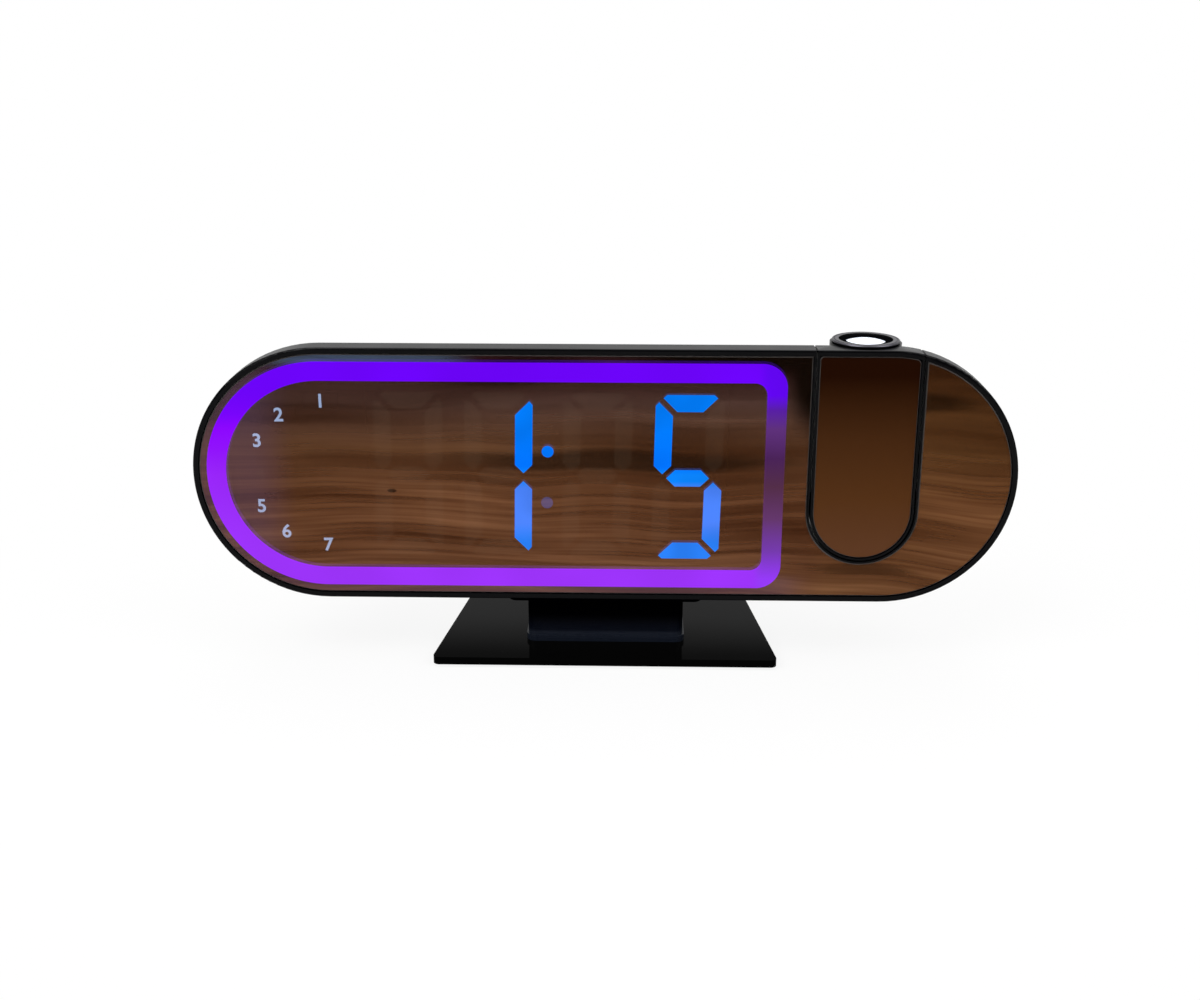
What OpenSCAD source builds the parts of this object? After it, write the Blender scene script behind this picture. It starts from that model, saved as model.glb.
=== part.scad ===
// Projection alarm clock. A stadium-shaped body with a mirror face stands on a flat
// pedestal. Behind the mirror lie a light band, four digits and seven weekday windows.
// A projector arm lies flush in a U-shaped channel and swings back on its pivot.
// Origin: under the middle of the stand, on the surface it rests on. X runs to the right
// as the face is read, Y towards the back and Z up. Lengths are in millimetres.

/* [Body] */
// Overall width of the body
body_w = 200; // [194:1:230]
// Overall height of the body
body_h = 63.7; // [62:0.1:68]
// Overall depth of the body
body_d = 25; // [25:0.1:29]
// Depth of the straight band behind the face
band_d = 5.6; // [5.2:0.1:6]
// Angle at which the back shell draws in behind the band
taper_angle = 22; // [18:1:23]
// Radius where the back shell turns onto its flat back
back_corner_r = 4; // [3:0.5:5]
// Radius of the frame's front edge
front_edge_r = 0.5; // [0.2:0.1:0.6]
// Wall of the back shell
shell_wall = 1.8; // [1.5:0.1:2]

/* [Mirror panel] */
// Width of the black rim round the mirror panel
bezel_w = 1.4; // [1:0.1:1.6]
// Thickness of the mirror panel
panel_t = 1.5; // [1.2:0.1:1.6]
// Depth of the panel's face behind the rim
panel_set = 0.3; // [0.1:0.1:0.4]
// Polished chamfer round the panel's face
panel_chamfer = 0.3; // [0.1:0.1:0.5]

/* [Light band] */
// Distance from the body's outline to the light band
glow_inset = 3.18; // [3.1:0.02:3.5]
// Width of the light band
glow_w = 4.93; // [4.5:0.01:5]
// Gap between the light band and the arm's channel
glow_arm_gap = 6.1; // [5.5:0.1:7]
// Outer corner radius of the light band at its straight end
glow_corner_r = 6; // [5.5:0.5:8]
// Inner corner radius of the light band at its straight end
glow_inner_r = 3; // [1:0.5:4]
// Thickness of the light guide
guide_t = 2; // [1.6:0.1:2]

/* [Digits] */
// Height of a digit
digit_h = 41.6; // [38:0.1:42]
// Width of a digit as a share of the distance between two neighbouring digits
digit_w_share = 0.7545; // [0.72:0.0005:0.76]
// Width of a segment as a share of a digit's width
segment_w_share = 0.253; // [0.2:0.001:0.26]
// Gap between two segments along either of them
segment_gap = 1; // [0.6:0.1:1.4]
// Extra space that the colon takes between the middle digits
colon_space = 2; // [1:0.1:2]
// Distance from the middle of the left round end to the first digit
digits_left_gap = 12.35; // [12.2:0.05:14]
// Gap between the last digit and the light band
digits_right_gap = 10.27; // [10.2:0.01:11]
// Lean of the digits from upright
digit_slant = 1.2; // [0:0.1:3]
// Diameter of a colon dot
dot_d = 3; // [2:0.1:3.4]
// Height of the upper dot over the middle of the face
dot_rise = 6.5; // [5:0.5:9]

/* [Projector arm] */
// Distance from the body's right end to the middle of the arm
arm_inset = 37; // [36:0.5:38]
// Width of the arm
arm_w = 25; // [24:0.5:25]
// Gap between the arm and its channel
slot_gap = 0.4; // [0.3:0.05:0.6]
// Wall of the channel
slot_wall = 1.4; // [1.2:0.1:1.6]
// Strip of frame between the channel and the mirror panel
slot_lip = 0.4; // [0.3:0.1:0.6]
// Drop of the pivot under the middle of the face
pivot_drop = 8.3; // [7.5:0.1:9]
// Depth of the pivot behind the face
pivot_depth = 9.8; // [9.8:0.1:10.4]
// Wall of the arm's casing
arm_wall = 1.4; // [1.2:0.1:1.6]
// Black rim round the sides and foot of the arm's mirror
arm_bezel = 0.5; // [0.3:0.1:0.8]
// Thickness of the arm's mirror
arm_mirror_t = 1.2; // [1:0.1:1.3]

/* [Focus ring and lens] */
// Outer diameter of the focus ring
ring_d = 16.3; // [16:0.1:16.8]
// Opening of the focus ring
ring_opening_d = 13; // [12.8:0.1:13.2]
// Height of the focus ring's crown over the body
ring_rise = 0.75; // [0.6:0.05:1.5]
// Opening in front of the projection lens
lens_opening_d = 9.6; // [9:0.1:10]
// Travel of the lens to either side of rest
lens_travel = 0.8; // [0.4:0.1:0.8]

/* [Stand] */
// Clear height between the body and the base plate
stand_gap = 14; // [12:0.5:20]
// Thickness of the base plate
plate_t = 2; // [1.8:0.1:4]
// Depth of the base plate
plate_d = 42; // [42:0.5:60]
// Width of the base plate's front edge
plate_front_w = 86.3; // [84:0.1:120]
// Width of the base plate's back edge
plate_back_w = 74.9; // [72:0.1:110]
// Corner radius of the base plate
plate_corner_r = 1.5; // [1:0.5:4]
// Reach of the base plate ahead of the face
plate_ahead = 4.6; // [4:0.1:8]
// Sideways place of the stand under the body
stand_shift = 0.5; // [-1:0.1:1]
// Width of the neck
neck_w = 39.5; // [38:0.5:44]
// Depth of the neck
neck_d = 14; // [13:0.5:15]
// Depth of the neck's front behind the face
neck_set = 6.2; // [5.8:0.1:7]
// Width of the saddle under the body
saddle_w = 48; // [46:0.5:54]
// Height of the rubber feet under the base plate
foot_h = 0.8; // [0.5:0.1:1.5]

/* [Back] */
// Diameter of a push button
button_d = 6.4; // [6:0.1:7]
// Distance between two neighbouring buttons
button_pitch = 11; // [10:0.5:11]
// Height of the row of buttons over the middle of the back
button_row = 13; // [12:0.5:13.5]
// Height of a button over the back
button_rise = 0.9; // [0.7:0.1:1.5]
// Press of a button
button_travel = 0.6; // [0.3:0.1:0.6]
// Diameter of the coin cell
cell_d = 20; // [19.5:0.1:20.2]
// Thickness of the coin cell
cell_t = 3.2; // [2.5:0.1:3.2]
// Diameter of the speaker
speaker_d = 18; // [16:0.5:18]

/* [Hidden] */
$fn = 64;

// One overrun serves every cut, and four clearances every fit.
cut_over = 1;
seat_gap = 0.1;
running_gap = 0.05;
slide_gap = 0.08;
loose_gap = 0.3;

// The face: radius of the round ends, half of the straight run, and the frame's place.
end_r = body_h / 2;
run = body_w / 2 - end_r;
plate_top = foot_h + plate_t;
face_y = plate_ahead - plate_d / 2;
face_z = plate_top + stand_gap + end_r;
arm_x = body_w / 2 - arm_inset;
arm_r = arm_w / 2;
slot_r = arm_r + slot_gap;
back_corner = [
    end_r - (body_d - back_corner_r - band_d) * tan(taper_angle)
        - back_corner_r / cos(taper_angle),
    body_d - back_corner_r
];
inner_back = body_d - shell_wall;

// Layers behind the mirror panel, as depths behind the face.
panel_back = panel_set + panel_t;
guide_front = panel_back + seat_gap;
guide_back = guide_front + guide_t;
diffuser_t = 2.5;
strip_t = 0.4;
strip_edge = 1;
block_behind = 5;
block_back = band_d + block_behind;
board_t = 1.6;
display_back = block_back + board_t;

// The digits fill the space between the round end and the light band's right end.
glow_right = arm_x - slot_r - glow_arm_gap;
digits_right = glow_right - glow_w - digits_right_gap;
digits_span = digits_right + run - digits_left_gap - colon_space;
digit_pitch = digits_span / (3 + digit_w_share);
digit_w = digit_pitch * digit_w_share;
segment_w = digit_w * segment_w_share;

// The digits: right edges of all four, and the block that holds them.
digit_rights = [for (i = [0:3])
    digits_right - (3 - i) * digit_pitch - (i < 2 ? colon_space : 0)];
segment_bevel = 0.8;
segment_shoulder = 0.9;
block_margin = 1.3;
block_left = digit_rights[0] - digit_w - block_margin;
block_right = digits_right + block_margin;
block_half = digit_h / 2 + block_margin;
colon_x = digit_rights[1] + (digit_pitch + colon_space - digit_w) / 2;

// Weekday windows follow the inner curve of the light band, as shares of its radius.
glow_inner_end_r = end_r - glow_inset - glow_w;
weekday_x_shares = [0, -0.434, -0.677, -0.668, -0.677, -0.434, 0];
weekday_z_shares = [0.776, 0.629, 0.354, 0, -0.354, -0.629, -0.776];
weekday_w = 8.4;
weekday_h = 4.2;
display_led = [1.6, 0.9, 0.8];
pipe_end = block_back - display_led[2] - loose_gap;

// Leds along the light band.
band_led = [2.8, 1.4, 1.4];
band_led_count = 8;

// A low wall behind the frame that centres the back shell.
tongue_inset = 2.9;
tongue_t = 1;
tongue_l = 1.8;

// Posts and screws inside the body, as places in the face plane.
post_r = 2.6;
post_pilot_r = 0.9;
shell_post_r = 3.2;
shell_screw_r = 1.2;
shell_head_r = 2.3;
shell_head_t = 1.6;
shell_head_depth = 3;
post_join = 16;
left_post_share = 0.175;
left_post_rise = 11;
left_post = [glow_inner_end_r * left_post_share, left_post_rise];
mid_post_inset = 8.5;
mid_post_rise = 17;
mid_post = [glow_right - mid_post_inset, mid_post_rise];
right_post = [15.8, 13.5];
shell_posts = [
    [left_post[0] - run, left_post[1]], [left_post[0] - run, -left_post[1]],
    [mid_post[0], mid_post[1]], [mid_post[0], -mid_post[1]],
    [run + right_post[0], right_post[1]], [run + right_post[0], -right_post[1]]
];
small_post_r = 2.2;
small_pilot_r = 0.7;
small_screw_r = 0.9;
small_head_r = 1.8;
small_head_t = 1.2;
small_screw_l = 5;
display_post_out = 6.85;
display_posts = [[-run - display_post_out, 0], [left_post[0] - run, 0], [mid_post[0], 0]];
display_board_edge = 3.1;
display_board_right = mid_post[0] + display_board_edge;
header_out = 10;
header_rise = 6;
header_size = [24, 3];

// Buttons, switches and the main board, as depths from the inner back.
cap_flange_t = 0.9;
cap_flange_r = 4;
cap_stem_r = 1.6;
stem_free = 2.65;
stem_reach = 0.7;
switch_w = 6;
switch_h = 3.5;
stem_play = 0.4;
switch_bore = stem_reach + button_travel + stem_play;
dish_rise = 0.35;
main_back = inner_back - running_gap - cap_flange_t - stem_free - switch_h;
main_front = main_back - board_t;
main_half = 19.4;
button_count = 6;
chips = [[-22, -4, 9, 9, 1.2], [-10, 3, 4, 2, 1], [4, -6, 6, 5, 1.1], [18, 4, 5, 6, 1.3]];

// The back, from its left end: speaker, coin cell and the middle of the buttons.
speaker_inset = 20.5;
speaker_at = [speaker_inset - body_w / 2, 0];
cell_pitch = 29;
cell_at = [speaker_at[0] + cell_pitch, 0];
buttons_pitch = 50.5;
buttons_x = cell_at[0] + buttons_pitch;
header_at = [buttons_x + header_out, header_rise];
main_cell_edge = 5.5;
main_post_gap = 0.5;
main_left = cell_at[0] - main_cell_edge;
main_right = mid_post[0] - shell_post_r - main_post_gap;
main_post_edge = 3.6;
main_post_pitch = 17.3;
main_post_high = 3;
main_post_low = 16.6;
main_posts = [
    for (x = [cell_at[0] + main_post_pitch, main_right - main_post_edge])
        for (z = [main_post_high, -main_post_low])
            [x, z]
];

// Ports.
port_z = -13.5;
port_pitch = 24;
usb_x = buttons_x - port_pitch / 2;
usb_outer = [13.2, 5.8];
usb_wall = 0.35;
usb_lift = 0.7;
usb_front = display_back + usb_lift;
usb_tongue = [11.1, 1.84];
usb_tongue_l = 8.6;
usb_floor = 1.2;
power_x = buttons_x + port_pitch / 2;
power_w = 8.94;
power_h = 3.26;
power_wall = 0.25;
power_tongue = [6.6, 0.7];
power_floor = 1.5;

// Coin cell, its pocket and its turning door.
cell_r = cell_d / 2;
pocket_wall = 0.7;
pocket_floor_t = 1;
contact_t = 0.3;
contact_rise = 0.7;
contact_plate_r = 6.5;
contact_dome_r = 1.4;
contact_dome_at = 3.5;
contact_pin_r = 0.5;
contact_pin_at = 5;
contact_strip_t = 0.2;
contact_strip_angle = 50;
cell_step = 0.4;
door_rim = 2.4;
door_r = cell_r + door_rim;
door_t = 1.6;
door_skirt_t = 1;
door_lug_reach = 1.2;
door_lug_r = door_r + door_lug_reach;
door_lug_t = 1.1;
door_lug_angle = 24;
door_turn = 45;
door_notch_play = 4;
door_lugs = 3;
coin_slot = [14, 1.8, 0.8];
cell_top = body_d - door_t - 2 * seat_gap;
cell_floor = cell_top - cell_t - contact_rise - contact_t;
pocket_front = cell_floor - pocket_floor_t;
lug_floor = inner_back - seat_gap - door_lug_t - loose_gap;

// Speaker and its grille.
speaker_t = 4.2;
speaker_rim = 1.2;
speaker_magnet_r = 5.4;
speaker_rib = 1;
speaker_rib_l = 3;
grille_slot_w = 1.3;
grille_pitch = 2.5;
grille_count = 7;

// The channel and the arm.
pivot_at = [arm_x, pivot_depth, -pivot_drop];
arm_top_bezel = bezel_w;
arm_mirror_set = panel_set;
arm_front_wall = 1.4;
arm_cavity_front = arm_mirror_set + arm_mirror_t + arm_front_wall;
arm_top_wall = 1.8;

// Pivot: a hollow pin on each side, its boss, washer and clip.
sleeve_r = 2.6;
sleeve_bore_r = 1.6;
sleeve_flange_r = 3.6;
sleeve_flange_t = 1;
pivot_boss_r = 4;
pivot_boss_l = 0.7;
arm_pad_r = 4.6;
arm_pad_l = 0.2;
arm_pad_face = arm_r - arm_wall - arm_pad_l;
washer_t = 0.5;
washer_r = 4.2;
clip_t = 0.5;
clip_r = 3.8;

// Lens group, as drops under the body's top.
turret_r = 8.6;
turret_l = 9;
ring_bore_gap = running_gap;
ring_sleeve_r = 7.1;
ring_catch_r = 7.5;
ring_catch_t = 0.5;
ring_groove = 0.2;
cell_tube_r = ring_opening_d / 2 - running_gap;
cell_crown_drop = 0.35;
cell_top_drop = cell_crown_drop - ring_rise;
lens_lip_t = 0.4;
lens_r = 5.4;
lens_sag = 1;
lens_seat_play = 0.25;
lens_edge_drop = cell_top_drop + lens_lip_t + lens_seat_play;
lens_edge_t = 1.25;
barrel_top_drop = 6.6;
cell_skirt = 1.2;
cell_bottom_drop = barrel_top_drop + lens_travel + cell_skirt;
barrel_neck_r = 5.35;
barrel_neck_bore_r = 4.6;
barrel_shoulder_drop = 11;
barrel_r = 6.7;
barrel_bore_r = 5.6;
barrel_step_drop = 21.5;
barrel_bottom_drop = 30;
barrel_flange_t = 2;
barrel_flange_drop = 24;
barrel_overlap = 0.4;
slide_t = 1;
slide_r = 5.5;
condenser_r = 5.5;
condenser_drop = 24.5;
condenser_edge_t = 1;
condenser_sag = 2;
board_drop = barrel_bottom_drop;
arm_board_t = 1.2;
arm_board_behind = 7;
arm_led = [3.5, 3.5, 1.5];

// Screws that close the arm, as places beside and above the middle of the face.
arm_screw_side = 9.4;
arm_screw_high = 12;
arm_screw_low = -15.5;
arm_boss_r = 1.9;
arm_well_r = 2.2;
arm_screw_r = 0.8;
arm_screw_head_r = 1.5;
arm_screw_head_t = 1;
arm_screw_floor = 4;
arm_screw_l = 5;
arm_screw_places = [
    [arm_x - arm_screw_side, arm_screw_high], [arm_x + arm_screw_side, arm_screw_high],
    [arm_x, arm_screw_low]
];

// Leads.
lead_r = 0.6;
lead_turn_gap = 20;
lead_turn_x = arm_x - lead_turn_gap;
lead_plug = [6, 2, 4];
lead_plug_edge = 1.8;
lead_plug_x = main_right - lead_plug_edge - lead_plug[0];
lead_bend_r = (main_front - lead_plug[1] / 2 - pivot_depth) / 2;
arm_lead_bend_r = 2.5;
arm_lead_turn = 6;

// Stand details.
neck_corner_r = 2;
neck_wall = 2;
neck_roof = 2;
neck_lip = 0.4;
neck_lip_h = 1.6;
saddle_drop = 1;
saddle_front = 1.4;
saddle_d = 20.6;
saddle_rise = 8;
neck_screw_x = 12;
neck_boss_r = 3.2;
neck_screw_r = 1.3;
neck_pilot_r = 1;
neck_screw_l = 6;
neck_head_r = 2.6;
neck_head_t = 1.8;
neck_pad_r = 3.4;
neck_pad_rise = 6.5;
base_screw_x = 12;
base_screw_r = 1.3;
base_screw_l = 7;
base_head_r = 2.6;
base_head_t = 1.2;
neck_screw_y = neck_set + neck_d / 2;
neck_seat = face_z - end_r + neck_pad_rise;
neck_screw_tip = neck_seat - neck_pad_rise - neck_screw_l;
board_floor_gap = 2.15;
display_board_half = end_r - neck_pad_rise - neck_head_t - board_floor_gap;
foot_r = 4;
foot_sink = 0.3;
foot_inset = 6.5;

// A flat outline in the face plane, given depth from y0 to y1.
module slab(y0, y1) {
    translate([0, y1, 0])
        rotate([90, 0, 0])
            linear_extrude(y1 - y0)
                children();
}

// A rod along Y, from depth y0 to y1, at a place in the face plane.
module rod(at, r, y0, y1) {
    translate([at[0], y0, at[1]])
        rotate([-90, 0, 0])
            cylinder(r = r, h = y1 - y0);
}

// A half section, as radius and depth, carried round the body's outline.
module stadium() {
    rotate([-90, 0, 0]) {
        for (side = [-1, 1])
            translate([side * run, 0, 0])
                rotate([0, 0, -90 * side])
                    rotate_extrude(angle = 180)
                        children();
        translate([-run, 0, 0])
            rotate([90, 0, 90])
                linear_extrude(2 * run) {
                    children();
                    mirror([1, 0])
                        children();
                }
    }
}

module stadium_outline(r) {
    for (side = [-1, 1])
        translate([side * run, 0])
            circle(r);
    square([2 * run, 2 * r], center = true);
}

// The body's half section from depth y0 back, drawn in by inset on every side. Its rim
// is straight up to the knee, where the taper starts.
module shell_section(inset, y0) {
    corner = back_corner_r - inset;
    knee = band_d - inset * tan(taper_angle / 2);
    rim = y0 < knee
        ? [[end_r - inset, y0], [end_r - inset, knee]]
        : [[end_r - inset / cos(taper_angle) - (y0 - band_d) * tan(taper_angle), y0]];
    polygon(concat([[0, y0]], rim, [
        back_corner + corner * [cos(taper_angle), sin(taper_angle)],
        [back_corner[0], body_d - inset], [0, body_d - inset]
    ]));
    translate(back_corner)
        circle(corner);
}

// The band's half section, with its rounded front edge.
module band_section() {
    square([end_r - front_edge_r, band_d]);
    translate([0, front_edge_r])
        square([end_r, band_d - front_edge_r]);
    translate([end_r - front_edge_r, front_edge_r])
        circle(front_edge_r);
}

module body_envelope() {
    stadium()
        band_section();
    stadium()
        shell_section(0, band_d);
}

// Outline of the light band, drawn in by inset from its outer edge.
module glow_outline(inset, corner_r) {
    r = end_r - glow_inset - inset;
    right = glow_right - inset;
    translate([-run, 0])
        circle(r);
    translate([-run, -r])
        square([run + right - corner_r, 2 * r]);
    translate([-run, corner_r - r])
        square([run + right, 2 * (r - corner_r)]);
    for (side = [-1, 1])
        translate([right - corner_r, side * (r - corner_r)])
            circle(corner_r);
}

// The channel's outline: a round foot at the pivot and straight sides above it.
module u_outline(r, top) {
    translate([arm_x, -pivot_drop]) {
        circle(r);
        translate([-r, 0])
            square([2 * r, top + pivot_drop]);
    }
}

// Outlines of the seven segments of a digit, centred on it, with mitred ends.
function segment_points(letter) =
    let (
        w = digit_w / 2,
        h = digit_h / 2,
        t = segment_w,
        q = segment_gap,
        b = segment_bevel,
        e = segment_bevel + segment_shoulder
    )
    letter == "a" ? [
        [-w + q + b, h - b], [-w + q + e, h], [w - q - e, h], [w - q - b, h - b],
        [w - t - q, h - t], [-w + t + q, h - t]
    ]
    : letter == "f" ? [
        [-w, h - q - e], [-w + b, h - q - b], [-w + t, h - q - t],
        [-w + t, q + t / 2], [-w + t / 2, q], [-w, q + t / 2]
    ]
    : letter == "g" ? [
        [-w + t / 2 + q, 0], [-w + t + q, t / 2], [w - t - q, t / 2],
        [w - t / 2 - q, 0], [w - t - q, -t / 2], [-w + t + q, -t / 2]
    ]
    : letter == "d" ? [for (p = segment_points("a")) [p[0], -p[1]]]
    : letter == "b" ? [for (p = segment_points("f")) [-p[0], p[1]]]
    : letter == "e" ? [for (p = segment_points("f")) [p[0], -p[1]]]
    : [for (p = segment_points("f")) [-p[0], -p[1]]];

module segment(digit, letter) {
    polygon([for (p = segment_points(letter)) [
        digit_rights[digit] - digit_w / 2 + p[0] + p[1] * tan(digit_slant), p[1]
    ]]);
}

module colon_dot(side, r) {
    translate([colon_x + side * dot_rise * tan(digit_slant), side * dot_rise])
        circle(r);
}

LETTERS = ["a", "b", "c", "d", "e", "f", "g"];
LIT = [[], ["b", "c"], [], ["a", "f", "g", "c", "d"]];
function picked(digit, letter) = len([for (l = LIT[digit]) if (l == letter) l]) > 0;

// Places of the weekday windows.
function weekday_place(i) = [
    weekday_x_shares[i] * glow_inner_end_r - run,
    weekday_z_shares[i] * glow_inner_end_r
];

module weekday_outline(i, grow) {
    translate(weekday_place(i))
        square([weekday_w + 2 * grow, weekday_h + 2 * grow], center = true);
}

// Places of the leds along the top, foot and right end of the light band.
glow_mid_r = end_r - glow_inset - glow_w / 2;
glow_mid_right = glow_right - glow_w / 2;
band_led_step = (run + glow_right - glow_w - glow_corner_r) / band_led_count;
band_led_turns = [120, 150, 180, 210, 240];
band_led_places = concat(
    [for (i = [0:band_led_count], side = [-1, 1])
        [i * band_led_step - run, side * glow_mid_r, 90]],
    [for (turn = band_led_turns)
        [glow_mid_r * cos(turn) - run, glow_mid_r * sin(turn), turn]],
    [for (side = [-1, 0, 1]) [glow_mid_right, side * glow_mid_r / 2, 0]]
);

module band_led_outline(grow) {
    for (p = band_led_places)
        translate([p[0], p[1]])
            rotate(p[2])
                square([band_led[1] + 2 * grow, band_led[0] + 2 * grow], center = true);
}

module front_frame() {
    color("#0b0b0c")
        translate([0, face_y, face_z])
            difference() {
                union() {
                    stadium()
                        band_section();
                    frame_tongue();
                    for (p = shell_posts)
                        rod(p, post_r, band_d, post_join);
                    for (p = display_posts)
                        rod(p, small_post_r, band_d, block_back);
                }
                slab(-cut_over, panel_back)
                    difference() {
                        stadium_outline(end_r - bezel_w);
                        u_outline(slot_r + slot_lip, end_r - bezel_w / 2);
                    }
                slab(panel_back - cut_over, guide_back)
                    glow_outline(-seat_gap, glow_corner_r + seat_gap);
                slab(guide_back - cut_over, band_d + cut_over)
                    frame_windows();
                slab(-cut_over, band_d + 2 * block_behind)
                    u_outline(slot_r, end_r + cut_over);
                for (p = shell_posts)
                    rod(p, post_pilot_r, band_d, post_join + cut_over);
                for (p = display_posts)
                    rod(p, small_pilot_r, band_d, block_back + cut_over);
            }
}

// Openings through the frame's floor for the display, its windows and the band's leds.
module frame_windows() {
    translate([block_left - seat_gap, -block_half - seat_gap])
        square([block_right - block_left + 2 * seat_gap, 2 * (block_half + seat_gap)]);
    for (i = [0:len(weekday_x_shares) - 1])
        weekday_outline(i, seat_gap);
    band_led_outline(seat_gap);
}

module frame_tongue() {
    slab(band_d, band_d + tongue_l)
        difference() {
            stadium_outline(end_r - tongue_inset);
            stadium_outline(end_r - tongue_inset - tongue_t);
            u_outline(slot_r + slot_wall + loose_gap, end_r + cut_over);
        }
}

module mirror_panel() {
    color("#3d2416")
        translate([0, face_y, face_z])
            difference() {
                stadium()
                    panel_section(end_r - bezel_w - seat_gap);
                slab(panel_set - cut_over, panel_back + cut_over)
                    u_outline(slot_r + slot_lip + seat_gap, end_r + cut_over);
                translate([arm_x, 0, -pivot_drop])
                    slot_chamfer(slot_r + slot_lip + seat_gap);
            }
}

// Half section of a panel whose face edge is chamfered.
module panel_section(r) {
    polygon([
        [0, panel_set], [r - panel_chamfer, panel_set], [r, panel_set + panel_chamfer],
        [r, panel_back], [0, panel_back]
    ]);
}

// The chamfer along the channel's edge of the panel: a cone at its foot, sloped sides.
module slot_chamfer(r) {
    rotate([-90, 0, 0]) {
        rotate_extrude(angle = 180)
            chamfer_section(r);
        rotate([90, 0, 0])
            linear_extrude(end_r + pivot_drop) {
                chamfer_section(r);
                mirror([1, 0])
                    chamfer_section(r);
            }
    }
}

module chamfer_section(r) {
    polygon([
        [0, panel_set - cut_over], [r + panel_chamfer + cut_over, panel_set - cut_over],
        [r, panel_set + panel_chamfer], [0, panel_set + panel_chamfer]
    ]);
}

module light_guide() {
    color("#a24bff")
        translate([0, face_y, face_z])
            slab(guide_front, guide_back)
                difference() {
                    glow_outline(0, glow_corner_r);
                    glow_outline(glow_w, glow_inner_r);
                }
}

module light_mask() {
    color("#101012")
        translate([0, face_y, face_z])
            slab(guide_front, guide_back)
                difference() {
                    glow_outline(glow_w + seat_gap, glow_inner_r - seat_gap);
                    translate([block_left - seat_gap, -block_half - seat_gap])
                        square([
                            block_right - block_left + 2 * seat_gap,
                            2 * (block_half + seat_gap)
                        ]);
                    for (i = [0:len(weekday_x_shares) - 1])
                        weekday_outline(i, seat_gap);
                }
}

module band_led_strip() {
    color("#e8e4d8")
        translate([0, face_y, face_z])
            slab(band_d, band_d + strip_t)
                difference() {
                    glow_outline(strip_edge, glow_corner_r - strip_edge);
                    glow_outline(glow_w - strip_edge, glow_inner_r);
                }
}

module band_leds() {
    color("#f4f1e6")
        translate([0, face_y, face_z])
            slab(band_d - band_led[2], band_d)
                band_led_outline(0);
}

module digit_block() {
    color("#151517")
        translate([0, face_y, face_z])
            difference() {
                translate([block_left, guide_front, -block_half])
                    cube([
                        block_right - block_left, block_back - guide_front, 2 * block_half
                    ]);
                slab(guide_front - cut_over, block_back + cut_over)
                    all_segments();
            }
}

// Every segment and dot as a well that opens on the board with its leds.
module all_segments() {
    for (digit = [0:3], letter = LETTERS)
        segment(digit, letter);
    for (side = [-1, 1])
        colon_dot(side, dot_d / 2);
}

// Diffusers fill the front of each segment's light well.
module lit_segments() {
    color("#2a8cff")
        translate([0, face_y, face_z])
            slab(guide_front, guide_front + diffuser_t) {
                for (digit = [0:3], letter = LETTERS)
                    if (picked(digit, letter))
                        segment(digit, letter);
                colon_dot(1, dot_d / 2 - running_gap);
            }
}

module unlit_segments() {
    color("#5c4a40")
        translate([0, face_y, face_z])
            slab(guide_front, guide_front + diffuser_t) {
                for (digit = [0:3], letter = LETTERS)
                    if (!picked(digit, letter))
                        segment(digit, letter);
                colon_dot(-1, dot_d / 2 - running_gap);
            }
}

// Clear pipes carry the light of a small led to each weekday window.
module weekday_light_pipes() {
    color("#6f7d96")
        translate([0, face_y, face_z])
            slab(guide_front, pipe_end)
                for (i = [0:len(weekday_x_shares) - 1])
                    weekday_outline(i, 0);
}

// A small led under each window, segment and dot.
function mean_point(points, i = 0) =
    i == len(points) ? [0, 0] : points[i] / len(points) + mean_point(points, i + 1);

module display_leds() {
    places = concat(
        [for (i = [0:len(weekday_x_shares) - 1]) weekday_place(i)],
        [for (digit = [0:3], letter = LETTERS)
            mean_point(segment_points(letter)) + [digit_rights[digit] - digit_w / 2, 0]],
        [for (side = [-1, 1]) [colon_x, side * dot_rise]]
    );
    color("#f4f1e6")
        translate([0, face_y, face_z])
            slab(block_back - display_led[2], block_back)
                for (p = places)
                    translate(p)
                        square([display_led[0], display_led[1]], center = true);
}

module display_board() {
    color("#1f5a34")
        translate([0, face_y, face_z])
            slab(block_back, display_back)
                difference() {
                    union() {
                        translate([-run, 0])
                            circle(display_board_half);
                        translate([-run, -display_board_half])
                            square([run + display_board_right, 2 * display_board_half]);
                    }
                    for (p = shell_posts)
                        translate(p)
                            circle(post_r + loose_gap);
                    for (p = display_posts)
                        translate(p)
                            circle(small_screw_r + seat_gap);
                }
}

// A small pan-head screw along Y: head from depth y0 to y1, shank on to y2.
module face_screw(at, shank_r, head_r, y0, y1, y2) {
    rod(at, head_r, min(y0, y1), max(y0, y1));
    rod(at, shank_r, min(y1, y2), max(y1, y2));
}

module display_board_screws() {
    color("silver")
        translate([0, face_y, face_z])
            for (p = display_posts)
                face_screw(
                    p, small_pilot_r, small_head_r,
                    display_back + small_head_t, display_back, display_back - small_screw_l
                );
}

// Pin header between the two boards.
module board_header() {
    color("#1a1a1a")
        translate([0, face_y, face_z])
            slab(display_back, main_front)
                translate(header_at)
                    square(header_size, center = true);
}

module main_board() {
    color("#1f5a34")
        translate([0, face_y, face_z])
            slab(main_front, main_back)
                difference() {
                    translate([main_left, -main_half])
                        square([main_right - main_left, 2 * main_half]);
                    translate([usb_x, port_z])
                        square([
                            usb_outer[0] + 2 * seat_gap, usb_outer[1] + 2 * seat_gap
                        ], center = true);
                    for (p = main_posts)
                        translate(p)
                            circle(small_screw_r + seat_gap);
                    for (side = [-1, 1])
                        translate([cell_at[0], side * contact_pin_at])
                            circle(contact_pin_r + seat_gap);
                }
}

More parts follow.
